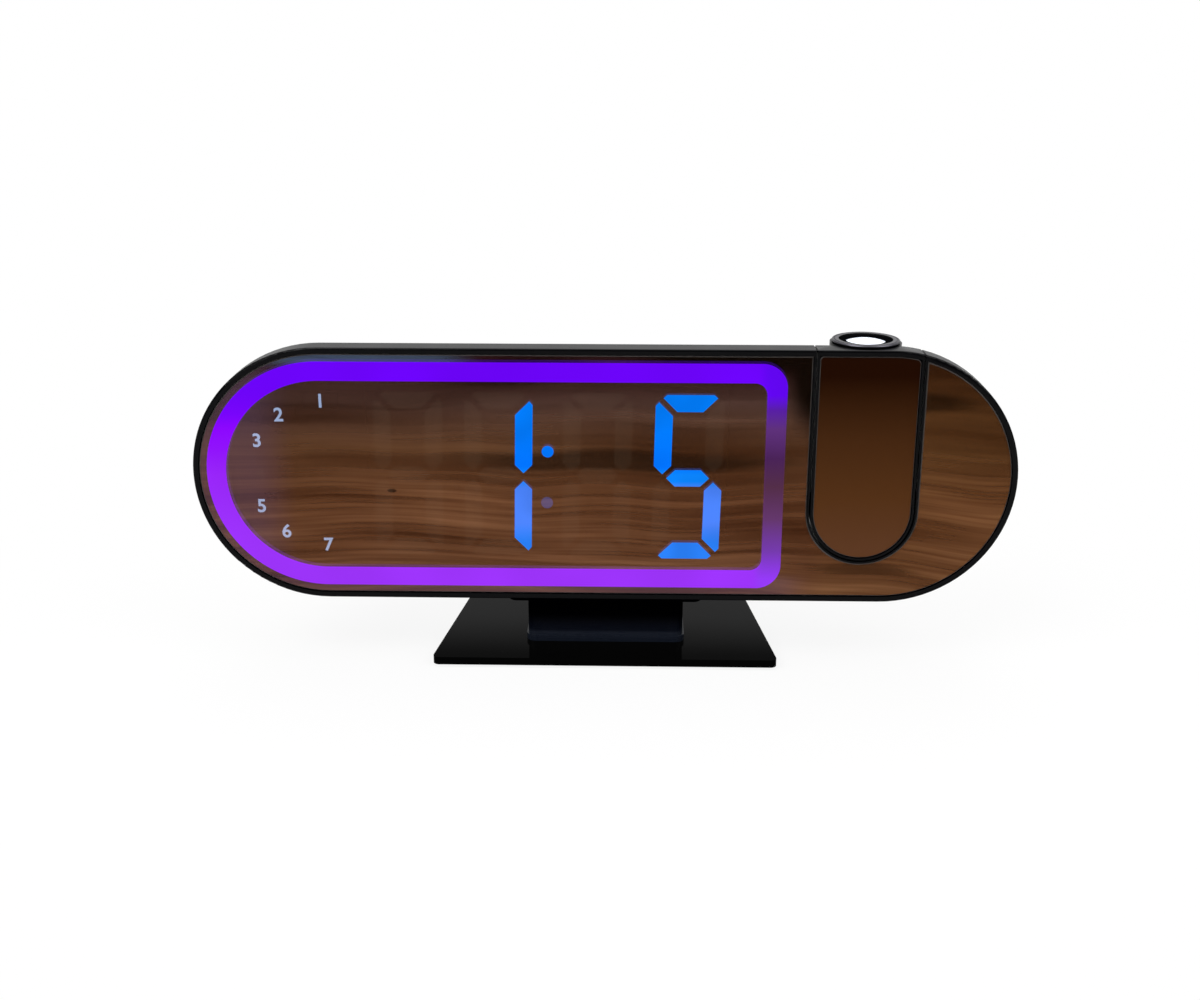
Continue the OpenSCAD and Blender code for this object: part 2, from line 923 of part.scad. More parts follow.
// Controller, clock crystal, buffer capacitor and the socket of the arm's lead.
module control_chips() {
    color("#222226")
        translate([0, face_y, face_z]) {
            for (c = chips)
                slab(main_back, main_back + c[4])
                    translate([buttons_x + c[0], c[1]])
                        square([c[2], c[3]], center = true);
            translate([lead_plug_x, main_front - lead_plug[1], -pivot_drop - lead_plug[2] / 2])
                cube(lead_plug);
        }
}

function button_place(i) = [
    buttons_x + (i - (button_count - 1) / 2) * button_pitch, button_row
];

module tact_switches() {
    color("#2b2b2e")
        translate([0, face_y, face_z])
            for (i = [0:button_count - 1])
                difference() {
                    slab(main_back, main_back + switch_h)
                        translate(button_place(i))
                            square(switch_w, center = true);
                    rod(
                        button_place(i), cap_stem_r + slide_gap,
                        main_back + switch_h - switch_bore, main_back + switch_h + cut_over
                    );
                }
}

module main_board_screws() {
    color("silver")
        translate([0, face_y, face_z])
            for (p = main_posts)
                face_screw(
                    p, small_pilot_r, small_head_r,
                    main_front - small_head_t, main_front, main_front + small_screw_l
                );
}

module speaker() {
    color("#3a3a3d")
        translate([0, face_y, face_z])
            difference() {
                union() {
                    rod(speaker_at, speaker_d / 2, inner_back - seat_gap - speaker_rim,
                        inner_back - seat_gap);
                    rod(speaker_at, speaker_magnet_r, inner_back - speaker_t,
                        inner_back - seat_gap - speaker_rim);
                }
                rod(speaker_at, speaker_d / 2 - speaker_rim,
                    inner_back - seat_gap - speaker_rim / 2, inner_back);
            }
}

// Square-mouthed charging outlet: metal shell, closed floor and contact tongue.
module usb_port() {
    color("#b9bcc1")
        translate([usb_x, face_y, face_z + port_z]) {
            difference() {
                slab(usb_front, body_d)
                    square(usb_outer, center = true);
                slab(usb_front + usb_floor, body_d + cut_over)
                    square([usb_outer[0] - 2 * usb_wall, usb_outer[1] - 2 * usb_wall],
                        center = true);
            }
            slab(usb_front + usb_floor, usb_front + usb_floor + usb_tongue_l)
                translate([0, (usb_outer[1] - usb_tongue[1]) / 4 - usb_wall / 2])
                    square(usb_tongue, center = true);
        }
}

// Oval-mouthed power inlet, which stands on the main board.
module oval(w, h) {
    for (side = [-1, 1])
        translate([side * (w - h) / 2, 0])
            circle(h / 2);
    square([w - h, h], center = true);
}

module power_socket() {
    color("#b9bcc1")
        translate([power_x, face_y, face_z + port_z]) {
            difference() {
                slab(main_back, body_d)
                    oval(power_w, power_h);
                slab(main_back + power_floor, body_d + cut_over)
                    oval(power_w - 2 * power_wall, power_h - 2 * power_wall);
            }
            slab(main_back + power_floor, body_d - power_tongue[1])
                square(power_tongue, center = true);
        }
}

module coin_cell() {
    color("#c9ccd0")
        translate([0, face_y, face_z]) {
            rod(cell_at, cell_r - cell_step, cell_top - cell_t, cell_top - cell_t + cell_step);
            rod(cell_at, cell_r, cell_top - cell_t + cell_step, cell_top);
        }
}

// The cell's two contacts: a plate with domes under it and a spring strip at its side.
module cell_contacts() {
    color("#cfae5c")
        translate([0, face_y, face_z]) {
            rod(cell_at, contact_plate_r, cell_floor, cell_floor + contact_t);
            for (side = [-1, 1])
                rod([cell_at[0] + side * contact_dome_at, 0], contact_dome_r,
                    cell_floor + contact_t, cell_top - cell_t);
            for (side = [-1, 1])
                rod([cell_at[0], side * contact_pin_at], contact_pin_r, main_front, cell_floor);
            translate([cell_at[0], cell_floor, cell_at[1]])
                rotate([-90, 0, 0])
                    rotate([0, 0, -contact_strip_angle / 2])
                        rotate_extrude(angle = contact_strip_angle)
                            translate([cell_r + running_gap, 0])
                                square([contact_strip_t, cell_top - cell_floor - running_gap]);
        }
}

// A run of lead: a straight, and a quarter bend in the plane it turns in.
module bend(r) {
    rotate_extrude(angle = 90)
        translate([r, 0])
            circle(lead_r);
}

// From the left pivot to the main board: two quarter bends set it back by two radii.
module pivot_lead() {
    start = arm_x - arm_pad_face + washer_t + clip_t - running_gap;
    low = lead_turn_x - 2 * lead_bend_r;
    color("#1b1b1e")
        translate([0, face_y + pivot_depth, face_z - pivot_drop]) {
            translate([lead_turn_x, 0, 0])
                rotate([0, 90, 0])
                    cylinder(r = lead_r, h = start - lead_turn_x);
            translate([lead_turn_x, lead_bend_r, 0])
                rotate([0, 0, 180])
                    bend(lead_bend_r);
            translate([low, lead_bend_r, 0])
                bend(lead_bend_r);
            translate([lead_plug_x + lead_plug[0], 2 * lead_bend_r, 0])
                rotate([0, 90, 0])
                    cylinder(r = lead_r, h = low - lead_plug_x - lead_plug[0]);
        }
}

module back_shell() {
    color("#1c1c1e")
        translate([0, face_y, face_z])
            difference() {
                union() {
                    difference() {
                        stadium()
                            shell_section(0, band_d);
                        stadium()
                            shell_section(shell_wall, band_d - cut_over);
                    }
                    intersection() {
                        stadium()
                            shell_section(0, band_d);
                        union() {
                            slab(band_d, body_d + cut_over)
                                u_outline(slot_r + slot_wall, end_r + cut_over);
                            pivot_bosses();
                        }
                    }
                    for (p = shell_posts)
                        rod(p, shell_post_r, post_join + seat_gap, body_d - shell_wall / 2);
                    for (p = main_posts)
                        rod(p, small_post_r, main_back, body_d - shell_wall / 2);
                    rod(cell_at, cell_r + loose_gap + pocket_wall, pocket_front, lug_floor);
                    rod(cell_at, door_lug_r + loose_gap + pocket_wall,
                        lug_floor - pocket_floor_t, body_d - shell_wall / 2);
                    rod(speaker_at, speaker_d / 2 + seat_gap + speaker_rib,
                        inner_back - speaker_rib_l, body_d - shell_wall / 2);
                    neck_pads();
                }
                slab(band_d - cut_over, body_d + cut_over)
                    u_outline(slot_r, end_r + cut_over);
                shell_bores();
                shell_mouths();
            }
}

module pivot_bosses() {
    for (side = [-1, 1])
        translate(pivot_at)
            rotate([0, 90 * side, 0])
                cylinder(r = pivot_boss_r, h = slot_r + slot_wall + pivot_boss_l);
}

// Inside pads for the screws that hold the neck, flat on top and sunk into the shell.
module neck_pads() {
    intersection() {
        stadium()
            shell_section(0, band_d);
        for (side = [-1, 1])
            translate([stand_shift + side * neck_screw_x, neck_screw_y, -end_r])
                cylinder(r = neck_pad_r, h = neck_pad_rise);
    }
}

module shell_bores() {
    for (p = shell_posts) {
        rod(p, shell_screw_r + seat_gap, post_join, body_d + cut_over);
        rod(p, shell_head_r + seat_gap, body_d - shell_head_depth, body_d + cut_over);
    }
    for (p = main_posts)
        rod(p, small_pilot_r, main_back - cut_over, inner_back);
    for (side = [-1, 1])
        translate(pivot_at)
            rotate([0, 90 * side, 0])
                cylinder(r = sleeve_r + running_gap, h = slot_r + slot_wall + 2 * cut_over);
    for (side = [-1, 1])
        translate([stand_shift + side * neck_screw_x, neck_screw_y, -end_r - cut_over])
            cylinder(r = neck_screw_r + seat_gap, h = neck_pad_rise + 2 * cut_over);
    for (i = [0:button_count - 1])
        rod(button_place(i), button_d / 2 + slide_gap, inner_back - cut_over,
            body_d + cut_over);
}

module shell_mouths() {
    slab(inner_back - cut_over, body_d + cut_over) {
        translate([usb_x, port_z])
            square([usb_outer[0] + 2 * seat_gap, usb_outer[1] + 2 * seat_gap], center = true);
        translate([power_x, port_z])
            oval(power_w + 2 * seat_gap, power_h + 2 * seat_gap);
    }
    rod(cell_at, cell_r + loose_gap, cell_floor, inner_back);
    rod(cell_at, door_lug_r + loose_gap, lug_floor, inner_back);
    rod(cell_at, door_r + running_gap, inner_back - cut_over / 2, body_d + cut_over);
    translate([cell_at[0], inner_back - cut_over / 2, cell_at[1]])
        rotate([-90, 0, 0])
            door_lug_rings(door_turn, door_lug_r + seat_gap, shell_wall + cut_over,
                door_lug_angle + door_notch_play);
    for (side = [-1, 1])
        rod([cell_at[0], side * contact_pin_at], contact_pin_r + seat_gap,
            pocket_front - cut_over, cell_floor + cut_over);
    rod(speaker_at, speaker_d / 2 + seat_gap, inner_back - speaker_rib_l - cut_over,
        inner_back);
    slab(inner_back - cut_over, body_d + cut_over)
        translate(speaker_at)
            for (i = [0:grille_count - 1])
                translate([0, (i - (grille_count - 1) / 2) * grille_pitch])
                    oval(grille_length(i), grille_slot_w);
}

// A grille slot reaches a circle inside the speaker's rim.
function grille_length(i) =
    let (reach = speaker_d / 2 - speaker_rim / 2, rise = (i - (grille_count - 1) / 2) * grille_pitch)
    2 * sqrt(reach * reach - rise * rise);

// Lugs or notches round the door, turned by an angle from their locked place.
module door_lug_rings(turn, r, h, spread) {
    for (i = [0:door_lugs - 1])
        rotate([0, 0, i * 360 / door_lugs + turn - spread / 2])
            rotate_extrude(angle = spread)
                translate([door_r - door_skirt_t, 0])
                    square([r - door_r + door_skirt_t, h]);
}

module battery_door() {
    color("#1c1c1e")
        translate([0, face_y, face_z]) {
            difference() {
                rod(cell_at, door_r, body_d - door_t, body_d);
                slab(body_d - coin_slot[2], body_d + cut_over)
                    translate(cell_at)
                        square([coin_slot[0], coin_slot[1]], center = true);
            }
            difference() {
                rod(cell_at, door_r, inner_back - seat_gap - door_lug_t, body_d - door_t);
                rod(cell_at, door_r - door_skirt_t, inner_back - door_lug_t - cut_over,
                    body_d - door_t);
            }
            translate([cell_at[0], inner_back - seat_gap - door_lug_t, cell_at[1]])
                rotate([-90, 0, 0])
                    door_lug_rings(0, door_lug_r, door_lug_t, door_lug_angle);
        }
}

module shell_screws() {
    color("#3b3b3e")
        translate([0, face_y, face_z])
            for (p = shell_posts)
                face_screw(
                    p, post_pilot_r, shell_head_r,
                    body_d - shell_head_depth + shell_head_t, body_d - shell_head_depth,
                    post_join - small_screw_l
                );
}

// A dished cap with a flange behind the shell and a stem that reaches into its switch.
module push_button(i) {
    flange_back = inner_back - running_gap;
    dish_r = (button_d * button_d / 4 + dish_rise * dish_rise) / (2 * dish_rise);
    color("#2a2a2c")
        translate([0, face_y, face_z])
            difference() {
                union() {
                    rod(button_place(i), cap_stem_r,
                        main_back + switch_h - stem_reach, flange_back);
                    rod(button_place(i), cap_flange_r, flange_back - cap_flange_t, flange_back);
                    rod(button_place(i), button_d / 2, flange_back, body_d + button_rise);
                }
                translate([
                    button_place(i)[0], body_d + button_rise + dish_r - dish_rise,
                    button_place(i)[1]
                ])
                    sphere(dish_r);
            }
}

module button_mode() {
    push_button(0);
}

module button_alarm() {
    push_button(1);
}

module button_up() {
    push_button(2);
}

module button_down() {
    push_button(3);
}

module button_light() {
    push_button(4);
}

module button_projection() {
    push_button(5);
}

// Hollow pivot pins with a flange inside the body.
module pivot_sleeves() {
    color("#8f9296")
        translate([0, face_y, face_z])
            for (side = [-1, 1])
                translate(pivot_at)
                    rotate([0, 90 * side, 0])
                        difference() {
                            union() {
                                translate([0, 0, arm_pad_face - washer_t - clip_t])
                                    cylinder(r = sleeve_r, h = slot_r + slot_wall
                                        + pivot_boss_l - arm_pad_face + washer_t + clip_t
                                        + sleeve_flange_t);
                                translate([0, 0, slot_r + slot_wall + pivot_boss_l])
                                    cylinder(r = sleeve_flange_r, h = sleeve_flange_t);
                            }
                            cylinder(r = sleeve_bore_r, h = 2 * slot_r);
                        }
}

// Rings on the pivot pins inside the arm, from reach in to reach out.
module pivot_rings(r, near, far) {
    translate([0, face_y, face_z])
        for (side = [-1, 1])
            translate(pivot_at)
                rotate([0, 90 * side, 0])
                    translate([0, 0, near])
                        difference() {
                            cylinder(r = r, h = far - near);
                            translate([0, 0, -cut_over])
                                cylinder(r = sleeve_r, h = far - near + 2 * cut_over);
                        }
}

module friction_washers() {
    color("#d8d2c0")
        pivot_rings(washer_r, arm_pad_face - washer_t, arm_pad_face - running_gap);
}

module pivot_clips() {
    color("#8f9296")
        pivot_rings(clip_r, arm_pad_face - washer_t - clip_t, arm_pad_face - washer_t);
}

// The arm's outer form, or its hollow when drawn in: flat sides and a round foot in
// front of the pivot, a half-round back behind it.
module arm_blank(r, front) {
    slab(front, pivot_depth)
        u_outline(r, end_r + cut_over);
    arm_back_blank(r);
}

module arm_back_blank(r) {
    translate(pivot_at)
        rotate_extrude(angle = 180) {
            intersection() {
                circle(r);
                translate([0, -r])
                    square(r);
            }
            square([r, end_r + pivot_drop + cut_over]);
        }
}

module arm_form() {
    intersection() {
        arm_blank(arm_r, 0);
        body_envelope();
    }
    intersection() {
        translate([arm_x, pivot_depth, end_r - turret_l])
            cylinder(r = turret_r, h = turret_l);
        slab(0, body_d)
            translate([arm_x - arm_r, 0])
                square([arm_w, end_r]);
    }
}

module arm_hollow() {
    intersection() {
        arm_blank(arm_r - arm_wall, arm_cavity_front);
        stadium()
            shell_section(arm_top_wall, 0);
    }
}

// Solid round the lens, the pads at the pivots and the bosses of the closing screws.
module arm_inner_form() {
    translate([arm_x, pivot_depth, end_r - turret_l])
        cylinder(r = turret_r, h = turret_l);
    for (side = [-1, 1])
        translate(pivot_at)
            rotate([0, 90 * side, 0])
                translate([0, 0, arm_pad_face])
                    cylinder(r = arm_pad_r, h = arm_r - arm_pad_face - arm_wall / 2);
    for (p = arm_screw_places) {
        rod(p, arm_boss_r, arm_cavity_front - arm_front_wall / 2, pivot_depth);
        rod(p, arm_well_r, pivot_depth, pivot_depth + arm_r);
    }
}

module arm_bores() {
    translate([arm_x, pivot_depth, end_r - turret_l - cut_over])
        cylinder(r = ring_sleeve_r + ring_bore_gap, h = turret_l + 2 * cut_over);
    translate([arm_x, pivot_depth, end_r - turret_l - ring_catch_t - 2 * loose_gap])
        cylinder(r = ring_catch_r + loose_gap, h = ring_catch_t + 2 * loose_gap);
    for (side = [-1, 1])
        translate(pivot_at)
            rotate([0, 90 * side, 0])
                cylinder(r = sleeve_r + running_gap, h = arm_r + cut_over);
    for (side = [-1, 1])
        translate(pivot_at)
            rotate([0, 90 * side, 0])
                translate([0, 0, arm_pad_face - washer_t - clip_t - loose_gap])
                    cylinder(
                        r = washer_r + loose_gap, h = washer_t + clip_t + loose_gap
                    );
}

module arm_casing() {
    difference() {
        union() {
            difference() {
                arm_form();
                arm_hollow();
            }
            intersection() {
                arm_inner_form();
                arm_form();
            }
        }
        arm_bores();
    }
}

module arm_front_shell() {
    color("#111113")
        translate([0, face_y, face_z])
            difference() {
                intersection() {
                    arm_casing();
                    slab(0, pivot_depth)
                        translate([arm_x - arm_w, -end_r])
                            square([2 * arm_w, 2 * end_r]);
                }
                slab(-cut_over, arm_mirror_set + arm_mirror_t)
                    arm_mirror_outline(0);
                for (p = arm_screw_places)
                    rod(p, arm_screw_r - seat_gap, arm_cavity_front, pivot_depth + cut_over);
            }
}

module arm_rear_shell() {
    color("#111113")
        translate([0, face_y, face_z])
            difference() {
                intersection() {
                    arm_casing();
                    slab(pivot_depth, body_d)
                        translate([arm_x - arm_w, -end_r])
                            square([2 * arm_w, 2 * end_r]);
                }
                for (p = arm_screw_places) {
                    rod(p, arm_screw_r, pivot_depth - cut_over, body_d);
                    rod(p, arm_screw_head_r + seat_gap,
                        pivot_depth + arm_screw_floor - arm_screw_head_t, body_d);
                }
            }
}

module arm_mirror_outline(inset) {
    intersection() {
        u_outline(arm_r - arm_bezel - inset, end_r);
        stadium_outline(end_r - arm_top_bezel - inset);
    }
}

module arm_mirror() {
    color("#3d2416")
        translate([0, face_y, face_z])
            slab(arm_mirror_set, arm_mirror_set + arm_mirror_t)
                arm_mirror_outline(seat_gap);
}

module arm_screws() {
    color("#3b3b3e")
        translate([0, face_y, face_z])
            for (p = arm_screw_places)
                face_screw(
                    p, arm_screw_r - seat_gap, arm_screw_head_r,
                    pivot_depth + arm_screw_floor,
                    pivot_depth + arm_screw_floor - arm_screw_head_t,
                    pivot_depth - arm_screw_l + arm_screw_head_t
                );
}

// A turned piece of the lens group: half section as radius and drop under the body's top.
module lens_turned() {
    translate([arm_x, face_y + pivot_depth, face_z + end_r])
        mirror([0, 0, 1])
            rotate_extrude()
                children();
}

module lens_barrel() {
    color("#161618") {
        lens_turned()
            polygon([
                [barrel_neck_bore_r, barrel_top_drop], [barrel_neck_r, barrel_top_drop],
                [barrel_neck_r, barrel_shoulder_drop], [barrel_r, barrel_shoulder_drop],
                [barrel_r, barrel_bottom_drop], [barrel_bore_r, barrel_bottom_drop],
                [barrel_bore_r, barrel_step_drop], [barrel_neck_bore_r, barrel_step_drop]
            ]);
        translate([0, face_y, face_z])
            difference() {
                intersection() {
                    translate([
                        arm_x - arm_r, 0, end_r - barrel_flange_drop - barrel_flange_t
                    ])
                        cube([arm_w, body_d, barrel_flange_t]);
                    arm_blank(
                        arm_r - arm_wall - seat_gap, arm_cavity_front + seat_gap
                    );
                }
                translate([arm_x, pivot_depth, -end_r])
                    cylinder(r = barrel_r - barrel_overlap, h = 2 * end_r);
            }
    }
}

module image_slide() {
    color("#30363f")
        lens_turned()
            translate([0, barrel_step_drop])
                square([slide_r, slide_t]);
}

// A lens as the common part of two spheres, or of one sphere and a flat.
module condenser_lens() {
    sphere_r = (condenser_r * condenser_r + condenser_sag * condenser_sag)
        / (2 * condenser_sag);
    color("#dfe8ee")
        lens_turned() {
            intersection() {
                translate([0, condenser_drop - condenser_sag + sphere_r])
                    circle(sphere_r);
                translate([0, condenser_drop - condenser_sag])
                    square([condenser_r, condenser_sag]);
            }
            translate([0, condenser_drop])
                square([condenser_r, condenser_edge_t]);
        }
}

module projector_board() {
    color("#1f5a34")
        translate([0, face_y, face_z])
            intersection() {
                translate([arm_x - arm_r, 0, end_r - board_drop - arm_board_t])
                    cube([arm_w, pivot_depth + arm_board_behind, arm_board_t]);
                arm_blank(arm_r - arm_wall - seat_gap, arm_cavity_front + seat_gap);
            }
}

module projector_led() {
    color("#f4f1e6")
        translate([
            arm_x - arm_led[0] / 2, face_y + pivot_depth - arm_led[1] / 2,
            face_z + end_r - board_drop
        ])
            cube(arm_led);
}

// From the pivot's mouth inside the arm, one quarter bend up to the projector board.
module arm_lead() {
    start = arm_pad_face - washer_t - clip_t;
    bend_x = arm_lead_turn + arm_lead_bend_r;
    color("#1b1b1e")
        translate([arm_x, face_y + pivot_depth, face_z - pivot_drop]) {
            translate([-start, 0, 0])
                rotate([0, 90, 0])
                    cylinder(r = lead_r, h = start - bend_x);
            translate([-bend_x, 0, arm_lead_bend_r])
                rotate([-90, 0, 0])
                    bend(arm_lead_bend_r);
            translate([-arm_lead_turn, 0, arm_lead_bend_r])
                cylinder(r = lead_r, h = end_r - board_drop - arm_board_t + pivot_drop
                    - arm_lead_bend_r);
        }
}

// A rounded collar with a groove, on a sleeve held under the turret by its catch.
module focus_ring() {
    bead_r = (ring_rise - running_gap) / 2;
    bead_at = [ring_d / 2 - bead_r, -running_gap - bead_r];
    color("#4b4744")
        lens_turned()
            difference() {
                union() {
                    translate([ring_opening_d / 2, -ring_rise])
                        square([bead_at[0] - ring_opening_d / 2, 2 * bead_r]);
                    translate(bead_at)
                        circle(bead_r);
                    translate([ring_opening_d / 2, -running_gap])
                        square([
                            ring_sleeve_r - ring_opening_d / 2,
                            turret_l + 2 * running_gap + ring_catch_t
                        ]);
                    translate([ring_opening_d / 2, turret_l + running_gap])
                        square([ring_catch_r - ring_opening_d / 2, ring_catch_t]);
                }
                translate([bead_at[0] - ring_groove, -ring_rise])
                    circle(ring_groove);
            }
}

module lens_cell() {
    color("#0e0e10")
        lens_turned()
            polygon([
                [lens_opening_d / 2, cell_top_drop], [cell_tube_r, cell_top_drop],
                [cell_tube_r, cell_bottom_drop], [lens_r + running_gap, cell_bottom_drop],
                [lens_r + running_gap, cell_top_drop + lens_lip_t],
                [lens_opening_d / 2, cell_top_drop + lens_lip_t]
            ]);
}

module projection_lens() {
    sphere_r = (lens_r * lens_r + lens_sag * lens_sag) / (2 * lens_sag);
    color("#cfe0f0")
        lens_turned()
            intersection() {
                translate([0, lens_edge_drop - lens_sag + sphere_r])
                    circle(sphere_r);
                translate([0, lens_edge_drop + lens_edge_t + lens_sag - sphere_r])
                    circle(sphere_r);
                translate([0, lens_edge_drop - lens_sag])
                    square([lens_r, lens_edge_t + 2 * lens_sag]);
            }
}

// Outline of a convex plate whose corners are arcs of one radius about the given centres,
// which run anticlockwise.
module rounded_plate(centres, r) {
    n = len(centres);
    polygon([for (i = [0:n - 1])
        let (
            a = centres[i],
            b = centres[(i + 1) % n],
            along = (b - a) / norm(b - a),
            out = [along[1], -along[0]]
        )
        for (p = [a, b]) p + r * out
    ]);
    for (c = centres)
        translate(c)
            circle(r);
}

function box_centres(w, d, r) = [
    [-w / 2 + r, r], [w / 2 - r, r], [w / 2 - r, d - r], [-w / 2 + r, d - r]
];

// Corner centres of the base plate, whose sides draw in towards the back.
function plate_centres(r) =
    let (
        lean = atan((plate_front_w - plate_back_w) / (2 * plate_d)),
        front = plate_front_w / 2 - r * (1 + sin(lean)) / cos(lean),
        back = plate_back_w / 2 - r * (1 - sin(lean)) / cos(lean)
    )
    [
        [-front, -plate_d / 2 + r], [front, -plate_d / 2 + r],
        [back, plate_d / 2 - r], [-back, plate_d / 2 - r]
    ];

module stand_neck() {
    color("#0d0e12")
        difference() {
            union() {
                translate([stand_shift, face_y, 0])
                    difference() {
                        neck_outer();
                        neck_hollow();
                    }
                for (side = [-1, 1])
                    translate([stand_shift + side * neck_screw_x, face_y + neck_screw_y,
                        plate_top])
                        cylinder(r = neck_boss_r, h = stand_gap + saddle_rise);
            }
            translate([0, face_y, face_z])
                body_envelope();
            for (side = [-1, 1])
                translate([stand_shift + side * neck_screw_x, face_y + neck_screw_y, 0]) {
                    cylinder(r = neck_pilot_r, h = plate_top + base_screw_l);
                    translate([0, 0, neck_screw_tip])
                        cylinder(r = neck_pilot_r, h = face_z - neck_screw_tip);
                }
        }
}

module neck_outer() {
    translate([0, neck_set, plate_top])
        linear_extrude(stand_gap + saddle_rise)
            rounded_plate(box_centres(neck_w, neck_d, neck_corner_r), neck_corner_r);
    translate([0, neck_set - neck_lip, plate_top])
        linear_extrude(neck_lip_h)
            rounded_plate(
                box_centres(neck_w + 2 * neck_lip, neck_d + 2 * neck_lip,
                    neck_corner_r + neck_lip),
                neck_corner_r + neck_lip
            );
    translate([0, saddle_front, face_z - end_r - saddle_drop])
        linear_extrude(saddle_rise)
            rounded_plate(box_centres(saddle_w, saddle_d, neck_corner_r), neck_corner_r);
}

module neck_hollow() {
    translate([0, neck_set + neck_wall, plate_top - cut_over])
        linear_extrude(stand_gap - neck_roof + cut_over)
            rounded_plate(
                box_centres(neck_w - 2 * neck_wall, neck_d - 2 * neck_wall,
                    neck_corner_r / 2),
                neck_corner_r / 2
            );
}

module neck_screws() {
    color("silver")
        for (side = [-1, 1])
            translate([stand_shift + side * neck_screw_x, face_y + neck_screw_y, 0]) {
                translate([0, 0, neck_screw_tip])
                    cylinder(r = neck_pilot_r, h = neck_seat - neck_screw_tip);
                translate([0, 0, neck_seat])
                    cylinder(r = neck_head_r, h = neck_head_t);
            }
}

module base_plate() {
    color("#121214")
        difference() {
            translate([stand_shift, 0, foot_h])
                linear_extrude(plate_t)
                    rounded_plate(plate_centres(plate_corner_r), plate_corner_r);
            for (side = [-1, 1])
                translate([stand_shift + side * base_screw_x, face_y + neck_screw_y, 0]) {
                    cylinder(r = base_screw_r + seat_gap, h = plate_top + cut_over);
                    cylinder(r = base_head_r + seat_gap, h = foot_h + base_head_t);
                }
            for (p = plate_centres(foot_inset))
                translate([stand_shift + p[0], p[1], 0])
                    cylinder(r = foot_r + seat_gap, h = foot_h + foot_sink);
        }
}

module base_screws() {
    color("silver")
        for (side = [-1, 1])
            translate([stand_shift + side * base_screw_x, face_y + neck_screw_y, 0]) {
                translate([0, 0, foot_h])
                    cylinder(r = base_head_r, h = base_head_t);
                translate([0, 0, foot_h + base_head_t])
                    cylinder(r = neck_pilot_r, h = base_screw_l);
            }
}

module rubber_feet() {
    color("#202022")
        for (p = plate_centres(foot_inset))
            translate([stand_shift + p[0], p[1], 0])
                cylinder(r = foot_r, h = foot_h + foot_sink);
}

front_frame();
mirror_panel();
light_guide();
light_mask();
band_led_strip();
band_leds();
digit_block();
lit_segments();
unlit_segments();
weekday_light_pipes();
display_leds();
display_board();
display_board_screws();
board_header();
main_board();
control_chips();
tact_switches();
main_board_screws();
speaker();
usb_port();
power_socket();
coin_cell();
cell_contacts();
pivot_lead();
back_shell();
shell_screws();
battery_door();
button_mode();
button_alarm();
button_up();
button_down();
button_light();
button_projection();
pivot_sleeves();
friction_washers();
pivot_clips();
arm_front_shell();
arm_rear_shell();
arm_mirror();
arm_screws();
lens_barrel();
image_slide();
condenser_lens();
projector_board();
projector_led();
arm_lead();
focus_ring();
lens_cell();
projection_lens();
stand_neck();
neck_screws();
base_plate();
base_screws();
rubber_feet();
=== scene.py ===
"""Looks of a mirror-faced projection alarm clock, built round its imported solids.

Every length is in metres, in the solids' own frame: +X runs to the right as the face is
read, +Y towards the back and +Z up. Sizes that are written in millimetres carry * MM.
"""

from __future__ import annotations

import logging
import math
from dataclasses import dataclass, field
from enum import Enum
from typing import Any

import bmesh
import bpy
import numpy as np
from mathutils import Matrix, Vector
from mathutils.geometry import convex_hull_2d

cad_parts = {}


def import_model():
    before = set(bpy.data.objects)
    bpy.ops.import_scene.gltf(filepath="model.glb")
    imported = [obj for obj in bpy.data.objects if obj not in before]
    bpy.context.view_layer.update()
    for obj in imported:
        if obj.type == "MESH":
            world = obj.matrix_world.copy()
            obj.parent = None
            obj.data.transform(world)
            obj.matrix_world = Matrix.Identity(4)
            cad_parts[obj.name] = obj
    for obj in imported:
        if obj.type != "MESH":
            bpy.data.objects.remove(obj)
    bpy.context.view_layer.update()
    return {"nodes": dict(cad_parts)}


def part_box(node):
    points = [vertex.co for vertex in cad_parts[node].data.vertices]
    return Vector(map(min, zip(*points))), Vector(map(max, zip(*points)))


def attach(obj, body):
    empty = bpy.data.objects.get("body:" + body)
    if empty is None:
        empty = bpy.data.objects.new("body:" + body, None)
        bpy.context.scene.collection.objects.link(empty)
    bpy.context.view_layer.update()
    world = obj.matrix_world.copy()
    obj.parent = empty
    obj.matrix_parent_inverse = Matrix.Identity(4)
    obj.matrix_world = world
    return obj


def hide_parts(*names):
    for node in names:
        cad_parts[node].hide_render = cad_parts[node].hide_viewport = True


LOG = logging.getLogger("clock")
MM = 0.001
CLOCK_BODY = "clock_body"
ARM_BODY = "projector_arm"
RING_BODY = "focus_ring"
LENS_BODY = "lens_group"

# An outline with more points than this is a round colon dot, not a segment.
ROUND_FROM = 12
# Vertices nearer to each other than this are one.
WELD_REACH = 0.0005 * MM
# The face's middle is taken this far in front of the mirror panel.
PANEL_SET = 0.3 * MM

Colour = tuple[float, float, float, float]
Tones = tuple[tuple[float, str], ...]
Span = tuple[float, float]
Tree = bpy.types.NodeTree
Node = bpy.types.Node
Socket = bpy.types.NodeSocket
Place = dict[str, Socket]
Material = bpy.types.Material
Piece = bpy.types.Object

WHITE: Colour = (1.0, 1.0, 1.0, 1.0)


def linear(code: str) -> Colour:
    """Turn an sRGB hex colour into linear light.

    Args:
        code: The colour, such as "#4a2e1e".

    Returns:
        Red, green and blue as linear values, and an alpha of 1.
    """
    parts = np.array([int(code[i : i + 2], 16) for i in (1, 3, 5)]) / 255
    low = parts / 12.92
    high = ((parts + 0.055) / 1.055) ** 2.4
    return (*np.where(parts <= 0.04045, low, high).tolist(), 1.0)


def graded(tones: Tones) -> list[tuple[float, Colour]]:
    """Turn places with hex colours into places with linear colours."""
    return [(at, linear(tone)) for at, tone in tones]


